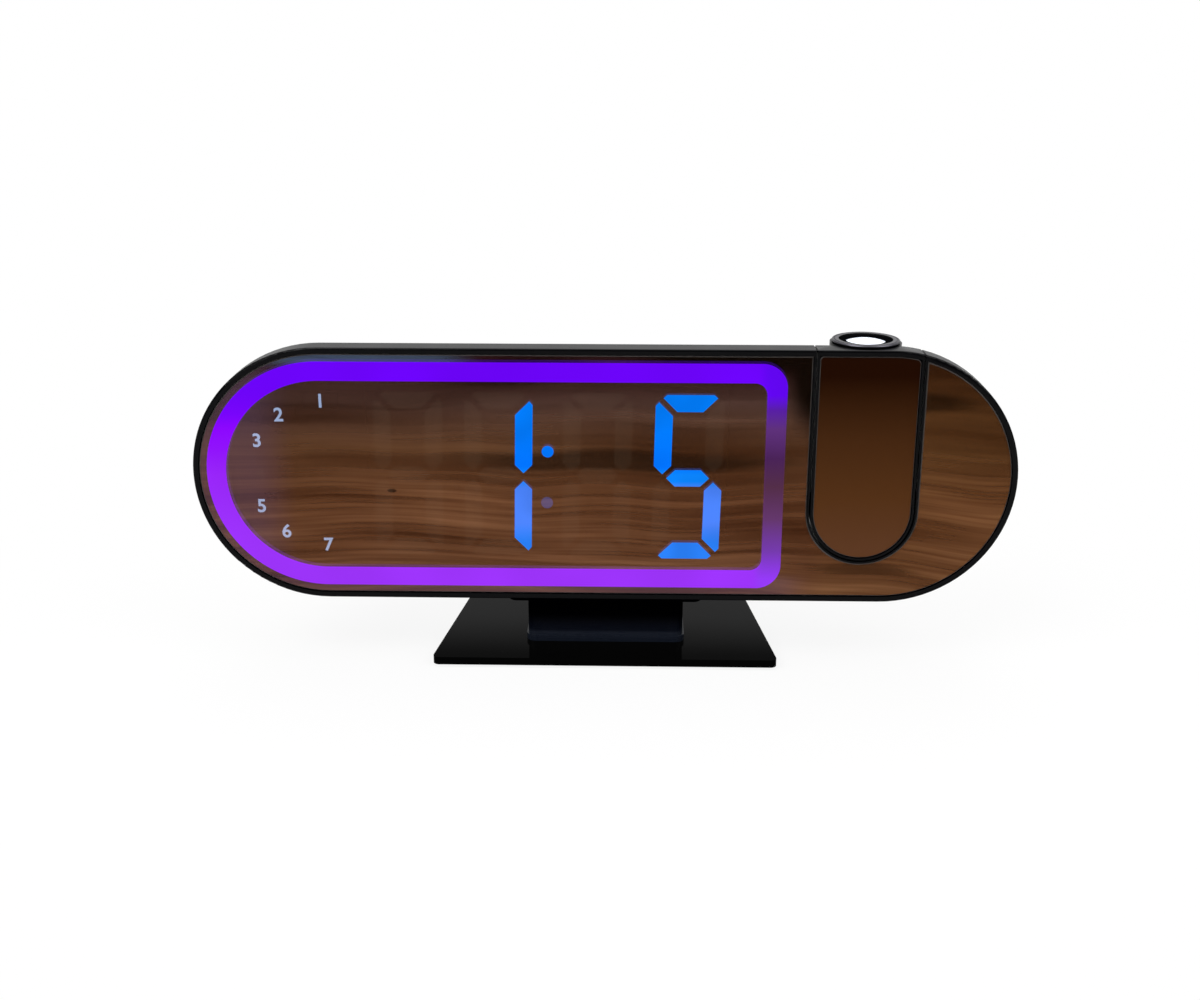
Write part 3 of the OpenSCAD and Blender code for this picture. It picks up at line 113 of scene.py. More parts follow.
def add_node(
    tree: Tree,
    kind: str,
    inputs: dict[str | int, Any] | list[Any],
    stops: list[tuple[float, Colour]] | None = None,
    **settings: Any,
) -> Node:
    """Add a shader node with its settings, values and links.

    Args:
        tree: The node tree that gets the node.
        kind: The node's type after "ShaderNode", such as "TexNoise".
        inputs: By name, by place or in order: a value, a socket to link from, or a node
            whose first output is linked.
        stops: Places and colours, for a colour ramp.
        **settings: The node's own properties.

    Returns:
        The new node.
    """
    node = tree.nodes.new("ShaderNode" + kind)
    for name, value in settings.items():
        setattr(node, name, value)
    keyed = inputs.items() if isinstance(inputs, dict) else enumerate(inputs)
    for key, value in keyed:
        if isinstance(value, Node):
            value = value.outputs[0]
        if isinstance(value, Socket):
            tree.links.new(value, node.inputs[key])
        else:
            node.inputs[key].default_value = value
    if stops:
        elements = node.color_ramp.elements
        while len(elements) < len(stops):
            elements.new(0.5)
        for element, (at, colour) in zip(elements, stops):
            element.position = at
            element.color = colour
    return node


def new_material(name: str) -> tuple[Material, Tree]:
    """Make an empty node material.

    Args:
        name: The material's name.

    Returns:
        The material and its node tree.
    """
    material = bpy.data.materials.new(name)
    material.use_nodes = True
    material.node_tree.nodes.clear()
    return material, material.node_tree


def soft_zone(tree: Tree, *steps: tuple[Socket, float, float]) -> Socket:
    """Give 1 inside a zone and 0 outside it, with soft ends.

    Args:
        tree: The node tree.
        *steps: A value, where it counts as outside and where it counts as inside. The
            zone is the product of one smooth step for each.

    Returns:
        The zone's socket.
    """
    zone = None
    for value, outside, inside in steps:
        way = [outside, inside] if outside < inside else [inside, outside, 1.0, 0.0]
        step = add_node(tree, "MapRange", [value, *way], interpolation_type="SMOOTHSTEP")
        if zone is not None:
            step = add_node(tree, "Math", [zone, step], operation="MULTIPLY")
        zone = step
    return zone.outputs[0]


def place_of(tree: Tree) -> Place:
    """Give a point's own place: the vector under "point", its parts under "x", "y", "z"."""
    point = add_node(tree, "TexCoord", []).outputs["Object"]
    parts = add_node(tree, "SeparateXYZ", [point]).outputs
    return {"point": point, "x": parts[0], "y": parts[1], "z": parts[2]}


def uneven(tree: Tree, colour: Socket, size: float, depth: float) -> Socket:
    """Vary a colour's strength softly from place to place.

    Args:
        tree: The node tree.
        colour: The colour.
        size: Width of a spot.
        depth: How much of the strength comes and goes.

    Returns:
        The varied colour's socket.
    """
    inputs = {"Vector": place_of(tree)["point"], "Scale": 1 / size, "Detail": 0.0}
    spots = add_node(tree, "TexNoise", inputs)
    low = (1 - depth, 1 - depth, 1 - depth, 1.0)
    share = add_node(tree, "ValToRGB", [spots], [(0.3, low), (0.7, WHITE)])
    inputs = {0: 1.0, 6: colour, 7: share}
    return add_node(tree, "Mix", inputs, data_type="RGBA", blend_type="MULTIPLY").outputs[2]


def glow_surface(tree: Tree, colour: Socket, body: str, strength: float) -> None:
    """Link a dark surface that glows in a colour.

    Args:
        tree: The node tree.
        colour: The glow's colour.
        body: Hex colour of the dark body.
        strength: Strength of the glow.
    """
    inputs = {
        "Base Color": linear(body),
        "Roughness": 0.4,
        "Specular IOR Level": 0.1,
        "Emission Color": colour,
        "Emission Strength": strength,
    }
    add_node(tree, "OutputMaterial", [add_node(tree, "BsdfPrincipled", inputs)])


@dataclass(frozen=True)
class MouldedPlastic:
    """Injection-moulded plastic: ABS, nylon or PC, from a polished or an etched mould."""

    name: str
    colour: str
    roughness: float
    specular: float
    grain: float
    grain_depth: float
    cloud: float = 14 * MM
    shade: float = 0.12

    def build(self) -> Material:
        """Make the material: etched grain as bump, and faint wide clouds in its sheen.

        Returns:
            The material.
        """
        material, tree = new_material(self.name)
        point = place_of(tree)["point"]
        grain, cloud = (
            add_node(tree, "TexNoise", {"Vector": point, "Scale": 1 / size, "Detail": detail})
            for size, detail in ((self.grain, 2.0), (self.cloud, 3.0))
        )
        base = linear(self.colour)[:3]
        darker, lighter = (
            tuple(part * share for part in base) + (1.0,)
            for share in (1 - self.shade, 1 + self.shade)
        )
        sheen = [cloud, 0.0, 1.0, self.roughness * 0.88, min(1.0, self.roughness * 1.12)]
        bump = {"Height": grain, "Distance": self.grain_depth, "Strength": 1.0}
        inputs = {
            "Base Color": add_node(tree, "ValToRGB", [cloud], [(0.3, darker), (0.7, lighter)]),
            "Roughness": add_node(tree, "MapRange", sheen),
            "Specular IOR Level": self.specular,
            "Normal": add_node(tree, "Bump", bump),
        }
        add_node(tree, "OutputMaterial", [add_node(tree, "BsdfPrincipled", inputs)])
        return material


@dataclass(frozen=True)
class GlossPlastic:
    """Polished black plastic with fine rubbing marks that show only in its highlights."""

    name: str
    colour: str
    roughness: float
    specular: float
    fade_axis: str = "y"
    fade: tuple[tuple[float, str, float], ...] = ()
    haze: float = 9 * MM
    hairline: float = 0.12 * MM

    def build(self) -> Material:
        """Make the material: hairlines along X and soft haze vary its roughness.

        Along the fade axis, each stop gives a place, a colour and a specular level: painted
        light and shade along the piece.

        Returns:
            The material.
        """
        material, tree = new_material(self.name)
        place = place_of(tree)
        drawn = {"Vector": place["point"], "Scale": (0.02, 1.0, 1.0)}
        along = add_node(tree, "Mapping", drawn)
        lines, haze = (
            add_node(tree, "TexNoise", {"Vector": at, "Scale": 1 / size, "Detail": detail})
            for at, size, detail in (
                (along, self.hairline, 1.0),
                (place["point"], self.haze, 4.0),
            )
        )
        mixed = add_node(tree, "Math", [lines, haze], operation="MULTIPLY")
        sheen = [mixed, 0.0, 0.5, self.roughness * 0.7, self.roughness * 1.5]
        colour, specular = linear(self.colour), self.specular
        if self.fade:
            first, last = self.fade[0][0], self.fade[-1][0]
            share = soft_zone(tree, (place[self.fade_axis], first, last))
            at = [(stop - first) / (last - first) for stop, _, _ in self.fade]
            tones = [linear(tone) for _, tone, _ in self.fade]
            levels = [(level, level, level, 1.0) for _, _, level in self.fade]
            colour = add_node(tree, "ValToRGB", [share], list(zip(at, tones)))
            specular = add_node(tree, "ValToRGB", [share], list(zip(at, levels)))
        inputs = {
            "Base Color": colour,
            "Roughness": add_node(tree, "MapRange", sheen),
            "Specular IOR Level": specular,
        }
        add_node(tree, "OutputMaterial", [add_node(tree, "BsdfPrincipled", inputs)])
        return material


@dataclass(frozen=True)
class EdgeLitBand:
    """Clear acrylic light guide, edge-lit in violet, with a dim stretch at its right."""

    name: str
    middle: Vector
    stops: Tones = (
        (0.0, "#6e02fd"),
        (0.09, "#7a03fd"),
        (0.16, "#8c05fe"),
        (0.3, "#9212fe"),
        (0.5, "#9c26ff"),
        (0.8, "#9e30ff"),
        (1.0, "#a035ff"),
    )
    dim_stops: Tones = (
        (0.0, "#9a3cff"),
        (0.14, "#7a3db4"),
        (0.3, "#683a70"),
        (0.46, "#552f4a"),
        (0.6, "#4a2358"),
        (0.74, "#60327d"),
        (0.83, "#5a1fa8"),
        (0.9, "#6404f6"),
    )
    reach: float = 24 * MM
    # The dim stretch sets in between these two places along X.
    dim_from: Span = (36.5 * MM, 39.5 * MM)
    dim_reach: float = 26 * MM
    spot: float = 16 * MM

    def colour(self, tree: Tree, place: Place) -> Socket:
        """Give the glow: blue-violet above, violet below, dim along most of its right.

        Args:
            tree: The node tree.
            place: The point's place.

        Returns:
            The glow's socket.
        """
        top, foot = self.middle.z + self.reach, self.middle.z - self.reach
        height = soft_zone(tree, (place["z"], top, foot))
        rise = [place["z"], self.middle.z - self.dim_reach, self.middle.z + self.dim_reach]
        inputs = {
            0: soft_zone(tree, (place["x"], *self.dim_from)),
            6: add_node(tree, "ValToRGB", [height], graded(self.stops)),
            7: add_node(
                tree, "ValToRGB", [add_node(tree, "MapRange", rise)], graded(self.dim_stops)
            ),
        }
        return add_node(tree, "Mix", inputs, data_type="RGBA").outputs[2]

    def build(self) -> Material:
        """Make the material: the glow over a dark, smooth body.

        Returns:
            The material.
        """
        material, tree = new_material(self.name)
        colour = uneven(tree, self.colour(tree, place_of(tree)), self.spot, 0.15)
        glow_surface(tree, colour, "#0a0210", 1.0)
        return material


@dataclass(frozen=True)
class LitDiffuser:
    """Milky diffuser over blue leds; a painted reflection pales its lower uprights."""

    name: str
    middle: float
    stops: Tones = (
        (0.0, "#0080ff"),
        (0.4, "#0074ff"),
        (0.47, "#0a86ff"),
        (0.53, "#0a86ff"),
        # From here down, a painted reflection pales the glow.
        (0.6, "#4c86ff"),
        (0.88, "#4e86ff"),
        (0.97, "#2c84ff"),
    )
    strength: float = 1.05
    reach: float = 21 * MM
    spot: float = 7 * MM

    def colour(self, tree: Tree, place: Place) -> Socket:
        """Give the glow, graded from the top to the foot.

        Args:
            tree: The node tree.
            place: The point's place.

        Returns:
            The glow's socket.
        """
        height = soft_zone(
            tree, (place["z"], self.middle + self.reach, self.middle - self.reach)
        )
        return add_node(tree, "ValToRGB", [height], graded(self.stops)).outputs[0]

    def build(self) -> Material:
        """Make the material: the glow, faintly uneven where the leds sit.

        Returns:
            The material.
        """
        material, tree = new_material(self.name)
        colour = uneven(tree, self.colour(tree, place_of(tree)), self.spot, 0.12)
        glow_surface(tree, colour, "#02060e", self.strength)
        return material


@dataclass(frozen=True)
class SmokedHalfMirror:
    """Clear acrylic with a smoked half-mirror film on its face, under a painted reflection.

    What lies behind shows through the film by a fixed share. The film's brown, grained
    tone is a painted reflection of a wooden table. Its tone darkens towards the top as
    painted shade, and soft streaks of painted wood grain run along it. The light band and
    the lit segments outshine the film: it takes their colour where they lie. Its sloped
    edge is polished, and paler by a painted highlight.
    """

    name: str
    face: float
    middle: Vector
    half_height: float
    see_through: float
    tones: Tones
    right_tones: Tones
    light_band: EdgeLitBand | None = None
    digits: LitDiffuser | None = None
    windows: tuple[np.ndarray, ...] = ()
    # Unlit colon dots, which get a faint painted glow of this share.
    faint_windows: tuple[np.ndarray, ...] = ()
    faint_share: float = 0.16
    band_box: tuple[Vector, Vector] | None = None
    band_width: float = 4.93 * MM
    band_overlap: float = 0.2 * MM
    band_corner: float = 6 * MM
    band_inner_corner: float = 3 * MM
    # Place and half sizes in mm from the face's middle, and depth, of each soft painted
    # shadow in the reflection; the last is a painted knot of the reflected wood.
    shadows: tuple[tuple[float, float, float, float, float], ...] = (
        (4, 4.5, 54, 3.8, 0.7),
        (-20, 25, 26, 4.5, 0.6),
        (30, 31, 40, 7.5, 1.0),
        (51, 27, 9.5, 20, 1.0),
        (74, 17.5, 20, 3.4, 0.7),
        (64, -23, 16, 1.6, 0.4),
        (-51.5, -4.7, 1.5, 0.7, 0.8),
    )
    shadow_tone: str = "#0c0502"
    # Where each soft zone sets in and where it is full: along X, or up from the middle.
    right_end: Span = (50 * MM, 56 * MM)
    # The cool zone is a painted slate reflection along the top left.
    cool_top: Span = (26.5 * MM, 29 * MM)
    cool_right: Span = (-28 * MM, -40 * MM)
    cool_left: Span = (-88 * MM, -78 * MM)
    cool_tone: str = "#3d4a60"
    # The tint zones are painted violet light from the light band.
    tint_left: Span = (-74 * MM, -86 * MM)
    tint_foot: Span = (-24 * MM, -27 * MM)
    tint_right: Span = (52 * MM, 42 * MM)
    tint_tone: str = "#54425a"
    tint_share: float = 0.28
    # Painted wood grain of the reflected table: where the fine streaks fade, their widths and
    # their wander.
    fine_low: Span = (14 * MM, -8 * MM)
    streak: float = 0.85 * MM
    wave: float = 55 * MM
    wave_rise: float = 12 * MM
    film_depth: float = 0.05 * MM
    # The sloped edge's paler colour is a painted highlight on its polished bevel.
    edge: str = "#5c5856"

    def build(self) -> Material:
        """Make the material as film with its painted reflection, glow, thin gloss, clear sides
        and a polished edge with a painted highlight.

        Returns:
            The material.
        """
        material, tree = new_material(self.name)
        place = place_of(tree)
        tone = self._tone(tree, place)
        if self.light_band:
            tone = self._streaked(tree, place, self._cooled(tree, place, tone))
            tone = self._tinted(tree, place, tone)
        reflection_film = add_node(
            tree,
            "BsdfPrincipled",
            {"Base Color": tone, "Roughness": 0.5, "Specular IOR Level": 0.0},
        )
        edge = add_node(
            tree, "BsdfPrincipled", {"Base Color": linear(self.edge), "Roughness": 0.15}
        )
        clear = add_node(tree, "BsdfTransparent", [])
        film = add_node(tree, "MixShader", [1 - self.see_through, clear, reflection_film])
        if self.light_band:
            film = self._outshone(tree, place, film)
        gloss = add_node(tree, "BsdfGlossy", {"Roughness": 0.06})
        shine = add_node(tree, "Fresnel", {"IOR": 1.06})
        faced = add_node(tree, "MixShader", [shine, film, gloss])
        depth = [place["y"], self.face + self.film_depth]
        on_face = add_node(tree, "Math", depth, operation="LESS_THAN")
        plate = add_node(tree, "MixShader", [on_face, clear, faced])
        normal = add_node(tree, "TexCoord", []).outputs["Normal"]
        facing = add_node(tree, "SeparateXYZ", [normal]).outputs["Y"]
        slant = add_node(tree, "Math", [facing], operation="ABSOLUTE")
        sloped = add_node(tree, "Math", [slant, math.sqrt(0.5), 0.2], operation="COMPARE")
        surface = add_node(tree, "MixShader", [sloped, plate, edge])
        add_node(tree, "OutputMaterial", [surface])
        return material

    def _outshone(self, tree: Tree, place: Place, film: Node) -> Node:
        """Lay the glow of the light band and of the lit segments over the film, and a faint
        painted glow over the unlit colon dots.

        Args:
            tree: The node tree.
            place: The point's place.
            film: The film.

        Returns:
            The film with the glow over it.
        """
        low, high = self.band_box
        inset = Vector((self.band_width, 0, self.band_width))
        over = Vector((self.band_overlap, 0, self.band_overlap))
        outer = self._in_plate(tree, place, low + over, high - over, self.band_corner)
        inner = self._in_plate(tree, place, low + inset, high - inset, self.band_inner_corner)
        in_band = add_node(tree, "Math", [outer, inner], operation="SUBTRACT")
        lit = in_band
        for window in self.windows:
            inside = self._in_window(tree, place, window)
            lit = add_node(tree, "Math", [lit, inside], operation="MAXIMUM")
        for window in self.faint_windows:
            inside = self._in_window(tree, place, window)
            faint = add_node(tree, "Math", [inside, self.faint_share], operation="MULTIPLY")
            lit = add_node(tree, "Math", [lit, faint], operation="MAXIMUM")
        digits = uneven(tree, self.digits.colour(tree, place), self.digits.spot, 0.15)
        around = uneven(
            tree, self.light_band.colour(tree, place), self.light_band.spot, 0.08
        )
        inputs = {0: in_band, 6: digits, 7: around}
        colour = add_node(tree, "Mix", inputs, data_type="RGBA").outputs[2]
        glow = add_node(tree, "Emission", {"Color": colour, "Strength": 1.0})
        return add_node(tree, "MixShader", [lit, film, glow])

    def _in_plate(
        self, tree: Tree, place: Place, low: Vector, high: Vector, corner: float
    ) -> Node:
        """Tell whether a point lies in a plate with a round left end.

        With r the corner radius on the point's side, and q = |p - middle| - half + r, it
        lies inside where the length of max(q, 0) is under r.

        Args:
            tree: The node tree.
            place: The point's place.
            low: The plate's lowest corner.
            high: The plate's highest corner.
            corner: Radius of the right corners.

        Returns:
            A node that gives 1 inside and 0 outside.
        """
        middle, half = (low + high) / 2, (high - low) / 2
        right = add_node(tree, "Math", [place["x"], middle.x], operation="GREATER_THAN")
        turned = [right, corner - half.z, half.z]
        radius = add_node(tree, "Math", turned, operation="MULTIPLY_ADD")
        over = {}
        for axis in ("x", "z"):
            away = [place[axis], getattr(middle, axis)]
            value = add_node(tree, "Math", away, operation="SUBTRACT")
            value = add_node(tree, "Math", [value], operation="ABSOLUTE")
            past = [value, getattr(half, axis)]
            value = add_node(tree, "Math", past, operation="SUBTRACT")
            value = add_node(tree, "Math", [value, radius], operation="ADD")
            over[axis.upper()] = add_node(tree, "Math", [value, 0.0], operation="MAXIMUM")
        flat = add_node(tree, "CombineXYZ", over)
        length = add_node(tree, "VectorMath", [flat], operation="LENGTH").outputs["Value"]
        return add_node(tree, "Math", [length, radius], operation="LESS_THAN")

    def _in_window(self, tree: Tree, place: Place, outline: np.ndarray) -> Node:
        """Tell whether a point lies in a convex outline.

        About the outline's middle, each side is the line n . p = c. The point lies inside
        where the greatest n . p / c is under 1.

        Args:
            tree: The node tree.
            place: The point's place.
            outline: One row of X and Z per corner, in order.

        Returns:
            A node that gives 1 inside and 0 outside.
        """
        middle = (outline.min(0) + outline.max(0)) / 2
        corners = outline - middle
        sides = np.roll(corners, -1, axis=0) - corners
        normals = np.stack([sides[:, 1], -sides[:, 0]], axis=-1)
        reach = (normals * corners).sum(axis=-1, keepdims=True)
        about = [place["point"], (middle[0], 0.0, middle[1])]
        centred = add_node(tree, "VectorMath", about, operation="SUBTRACT")
        most: Node | float = 0.0
        for x_part, z_part in (normals / reach).tolist():
            side = [centred, (x_part, 0.0, z_part)]
            along = add_node(tree, "VectorMath", side, operation="DOT_PRODUCT")
            farther = [most, along.outputs["Value"]]
            most = add_node(tree, "Math", farther, operation="MAXIMUM")
        return add_node(tree, "Math", [most, 1.0], operation="LESS_THAN")

    def _tone(self, tree: Tree, place: Place) -> Socket:
        """Grade the film's painted reflection from the foot to the top, apart for the right
        end:
        painted shade darkens it towards the top.

        Args:
            tree: The node tree.
            place: The point's place.

        Returns:
            The tone's socket.
        """
        foot, top = self.middle.z - self.half_height, self.middle.z + self.half_height
        height = add_node(tree, "MapRange", [place["z"], foot, top])
        inputs = {
            0: soft_zone(tree, (place["x"], *self.right_end)),
            6: add_node(tree, "ValToRGB", [height], graded(self.tones)),
            7: add_node(tree, "ValToRGB", [height], graded(self.right_tones)),
        }
        return add_node(tree, "Mix", inputs, data_type="RGBA").outputs[2]

    def _cooled(self, tree: Tree, place: Place, tone: Socket) -> Socket:
        """Cool the film to slate along the top of its left half, as a painted slate
        reflection.

        Args:
            tree: The node tree.
            place: The point's place.
            tone: The tone so far.

        Returns:
            The cooled tone's socket.
        """
        top = (place["z"], *(self.middle.z + up for up in self.cool_top))
        sides = (place["x"], *self.cool_right), (place["x"], *self.cool_left)
        share = soft_zone(tree, top, *sides)
        inputs = {0: share, 6: tone, 7: linear(self.cool_tone)}
        return add_node(tree, "Mix", inputs, data_type="RGBA").outputs[2]

    def _tinted(self, tree: Tree, place: Place, tone: Socket) -> Socket:
        """Tint the film with painted violet light from the light band, at its left end and
        along its foot.

        Args:
            tree: The node tree.
            place: The point's place.
            tone: The tone so far.

        Returns:
            The tinted tone's socket.
        """
        left = soft_zone(tree, (place["x"], *self.tint_left))
        below = (place["z"], *(self.middle.z + up for up in self.tint_foot))
        foot = soft_zone(tree, below, (place["x"], *self.tint_right))
        either = add_node(tree, "Math", [left, foot], operation="MAXIMUM")
        share = add_node(tree, "Math", [either, self.tint_share], operation="MULTIPLY")
        inputs = {0: share, 6: tone, 7: linear(self.tint_tone)}
        return add_node(tree, "Mix", inputs, data_type="RGBA").outputs[2]

    def _streaked(self, tree: Tree, place: Place, tone: Socket) -> Socket:
        """Lay painted wood grain of the reflected table: soft dark streaks along X over the
        tone, and long painted shadows with a knot.

        The streaks are noise drawn out along X, on a height that a slow noise lifts and
        lowers, so that they wander like grain: z' = z + rise * (slow(x, z) - 1/2). A painted
        shadow is an ellipse about (x, z) with half sizes a and b, in mm from the face's
        middle.
        The fine streaks fade towards the top.

        Args:
            tree: The node tree.
            place: The point's place.
            tone: The tone under the streaks.

        Returns:
            The streaked tone's socket.
        """
        flat = add_node(tree, "CombineXYZ", {"X": place["x"], "Z": place["z"]})
        slow = {"Vector": flat, "Scale": 1 / self.wave, "Detail": 1.0}
        drift = add_node(tree, "TexNoise", slow)
        sway = add_node(tree, "Math", [drift, 0.5], operation="SUBTRACT")
        rise = [sway, self.wave_rise, place["z"]]
        lifted = add_node(tree, "Math", rise, operation="MULTIPLY_ADD")
        moved = add_node(tree, "CombineXYZ", {"X": place["x"], "Z": lifted})
        low = (place["z"], *(self.middle.z + up for up in self.fine_low))
        fade = [soft_zone(tree, low), 0.55, 0.45]
        fine = add_node(tree, "Math", fade, operation="MULTIPLY_ADD")
        # Painted wood grain of the reflected table, from broad to fine.
        for size, stretch, detail, first, last, dark, share in (
            (self.streak * 9, 0.09, 1.0, 0.32, 0.66, "#bcaea2", 1.0),
            (self.streak * 3, 0.04, 1.0, 0.3, 0.66, "#c8bdb4", fine),
            (self.streak, 0.016, 2.0, 0.3, 0.64, "#cac0b9", fine),
        ):
            drawn = add_node(tree, "Mapping", {"Vector": moved, "Scale": (stretch, 1.0, 1.0)})
            inputs = {"Vector": drawn, "Scale": 1 / size, "Detail": detail}
            noise = add_node(tree, "TexNoise", inputs)
            tones = [(first, linear(dark)), (last, WHITE)]
            shade = add_node(tree, "ValToRGB", [noise], tones)
            inputs = {0: share, 6: tone, 7: shade}
            tone = add_node(
                tree, "Mix", inputs, data_type="RGBA", blend_type="MULTIPLY"
            ).outputs[2]
        for x, z, wide, high, share in self.shadows:
            scale = Vector((1 / (wide * MM), 0.0, 1 / (high * MM)))
            middle = Vector((x * MM, 0.0, self.middle.z + z * MM))
            inputs = {"Vector": moved, "Location": -middle * scale, "Scale": scale}
            placed = add_node(tree, "Mapping", inputs)
            away = add_node(tree, "VectorMath", [placed], operation="LENGTH")
            inside = soft_zone(tree, (away.outputs["Value"], 1.0, 0.4))
            dark = add_node(tree, "Math", [inside, share], operation="MULTIPLY")
            inputs = {0: dark, 6: tone, 7: linear(self.shadow_tone)}
            tone = add_node(tree, "Mix", inputs, data_type="RGBA").outputs[2]
        return tone


@dataclass(frozen=True)
class PlatedMetal:
    """Plated or turned metal: a thin grain of tool marks and a soft cloud in its sheen."""

    name: str
    colour: str
    roughness: float
    mark: float = 0.25 * MM
    mark_depth: float = 0.004 * MM
    stretch: tuple[float, float, float] = (1.0, 1.0, 0.05)

    def build(self) -> Material:
        """Make the material: stretched noise as tool marks, in roughness and bump.

        Returns:
            The material.
        """
        material, tree = new_material(self.name)
        inputs = {"Vector": place_of(tree)["point"], "Scale": self.stretch}
        drawn = add_node(tree, "Mapping", inputs)
        inputs = {"Vector": drawn, "Scale": 1 / self.mark, "Detail": 3.0}
        marks = add_node(tree, "TexNoise", inputs)
        sheen = [marks, 0.0, 1.0, self.roughness * 0.7, self.roughness * 1.3]
        bump = {"Height": marks, "Distance": self.mark_depth, "Strength": 1.0}
        inputs = {
            "Base Color": linear(self.colour),
            "Metallic": 1.0,
            "Roughness": add_node(tree, "MapRange", sheen),
            "Normal": add_node(tree, "Bump", bump),
        }
        add_node(tree, "OutputMaterial", [add_node(tree, "BsdfPrincipled", inputs)])
        return material


@dataclass(frozen=True)
class TurnedRing:
    """Dark grey anodised aluminium with tool marks round its axis, and a bore that is black
    as painted shade.
    """

    name: str
    axis_x: float
    axis_y: float
    colour: str = "#45444a"
    bore_colour: str = "#060607"
    bore_radius: float = 6.6 * MM
    mark: float = 0.12 * MM
    mark_depth: float = 0.01 * MM
    roughness: float = 0.32

    def build(self) -> Material:
        """Make the material: noise over radius and height gives rings of tool marks.

        Returns:
            The material.
        """
        material, tree = new_material(self.name)
        place = place_of(tree)
        away = {
            axis.upper(): add_node(tree, "Math", [place[axis], middle], operation="SUBTRACT")
            for axis, middle in (("x", self.axis_x), ("y", self.axis_y))
        }
        flat = add_node(tree, "CombineXYZ", away)
        radius = add_node(tree, "VectorMath", [flat], operation="LENGTH").outputs["Value"]
        turned = add_node(tree, "CombineXYZ", {"X": radius, "Z": place["z"]})
        inputs = {"Vector": turned, "Scale": 1 / self.mark, "Detail": 2.0}
        marks = add_node(tree, "TexNoise", inputs)
        # Inside the bore: painted shade, black and not metallic.
        bore = add_node(tree, "Math", [radius, self.bore_radius], operation="LESS_THAN")
        tones = {0: bore, 6: linear(self.colour), 7: linear(self.bore_colour)}
        bump = {"Height": marks, "Distance": self.mark_depth, "Strength": 1.0}
        inputs = {
            "Base Color": add_node(tree, "Mix", tones, data_type="RGBA").outputs[2],
            "Metallic": add_node(tree, "Math", [1.0, bore], operation="SUBTRACT"),
            "Roughness": self.roughness,
            "Normal": add_node(tree, "Bump", bump),
        }
        add_node(tree, "OutputMaterial", [add_node(tree, "BsdfPrincipled", inputs)])
        return material


@dataclass(frozen=True)
class SolderMask:
    """Glass-fibre circuit board under solder mask, with copper tracks showing through."""

    name: str
    colour: str
    track: str
    cell: float = 4.8 * MM

    def build(self) -> Material:
        """Make the material: square steps of noise stand for the routed tracks.

        Returns:
            The material.
        """
        material, tree = new_material(self.name)
        cells = add_node(
            tree,
            "TexVoronoi",
            {"Vector": place_of(tree)["point"], "Scale": 1 / self.cell},
            distance="MANHATTAN",
            feature="F1",
        )
        inputs = [cells.outputs["Distance"], 0.12]
        lines = add_node(tree, "Math", inputs, operation="PINGPONG")
        tones = graded(((0.0, self.colour), (0.075, self.colour), (0.09, self.track)))
        inputs = {"Base Color": add_node(tree, "ValToRGB", [lines], tones), "Roughness": 0.35}
        add_node(tree, "OutputMaterial", [add_node(tree, "BsdfPrincipled", inputs)])
        return material


@dataclass(frozen=True)
class LensAcrylic:
    """Polished lens of clear acrylic over the led, with a painted glow for stray light."""

    name: str
    colour: str = "#eef0f4"
    shade: str = "#c9ced8"
    clear_share: float = 0.1
    # Strength of the painted glow.
    glow: float = 0.5
    spot: float = 5 * MM

    def build(self) -> Material:
        """Make the material: partly see-through, pale, with a soft painted glow.

        Returns:
            The material.
        """
        material, tree = new_material(self.name)
        point = place_of(tree)["point"]
        inputs = {"Vector": point, "Scale": 1 / self.spot, "Detail": 0.0}
        stria = add_node(tree, "TexNoise", inputs)
        tones = graded(((0.35, self.shade), (0.65, self.colour)))
        inputs = {
            "Base Color": add_node(tree, "ValToRGB", [stria], tones),
            "Roughness": 0.04,
            "Emission Color": linear("#dfe6f4"),
            "Emission Strength": self.glow,
        }
        body = add_node(tree, "BsdfPrincipled", inputs)
        clear = add_node(tree, "BsdfTransparent", [])
        surface = add_node(tree, "MixShader", [1 - self.clear_share, clear, body])
        add_node(tree, "OutputMaterial", [surface])
        return material


def new_piece(name: str, data: bpy.types.ID) -> Piece:
    """Put a mesh, a lamp or a camera into a new object of the scene, at the origin."""
    piece = bpy.data.objects.new(name, data)
    bpy.context.scene.collection.objects.link(piece)
    return piece


def weld(piece: Piece, smooth_degrees: float) -> None:
    """Merge a piece's doubles, turn its faces outwards and smooth its shading.

    Args:
        piece: The piece, whose mesh is changed.
        smooth_degrees: Edges that bend less than this are shaded smooth.
    """
    work = bmesh.new()
    work.from_mesh(piece.data)
    bmesh.ops.remove_doubles(work, verts=work.verts, dist=WELD_REACH)
    bmesh.ops.dissolve_degenerate(work, edges=work.edges, dist=WELD_REACH)
    bmesh.ops.recalc_face_normals(work, faces=work.faces)
    for edge in work.edges:
        edge.smooth = edge.calc_face_angle(0.0) < math.radians(smooth_degrees)
    work.to_mesh(piece.data)
    work.free()
    smooth = np.ones(len(piece.data.polygons), dtype=bool)
    piece.data.polygons.foreach_set("use_smooth", smooth)
    piece.data.update()


def points_of(mesh: bpy.types.Mesh) -> np.ndarray:
    """Give a mesh's vertices as rows of X, Y and Z."""
    points = np.empty(len(mesh.vertices) * 3)
    mesh.vertices.foreach_get("co", points)
    return points.reshape(-1, 3)


def dress(piece: Piece, material: Material) -> None:
    """Give a piece one material."""
    piece.data.materials.clear()
    piece.data.materials.append(material)


def smooth_copy(node: str, body: str, material: Material, name: str) -> Piece:
    """Replace a CAD node by a welded copy with smooth shading.

    Args:
        node: The CAD node.
        body: The body that the node rides on.
        material: The copy's material.
        name: The copy's name.

    Returns:
        The copy.
    """
    piece = new_piece(name, bpy.data.objects[node].data.copy())
    weld(piece, smooth_degrees=32)
    level = piece.modifiers.new("level_faces", "WEIGHTED_NORMAL")
    level.keep_sharp = True
    dress(piece, material)
    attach(piece, body)
    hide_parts(node)
    LOG.info("%s: smooth copy of %s, %d faces", name, node, len(piece.data.polygons))
    return piece


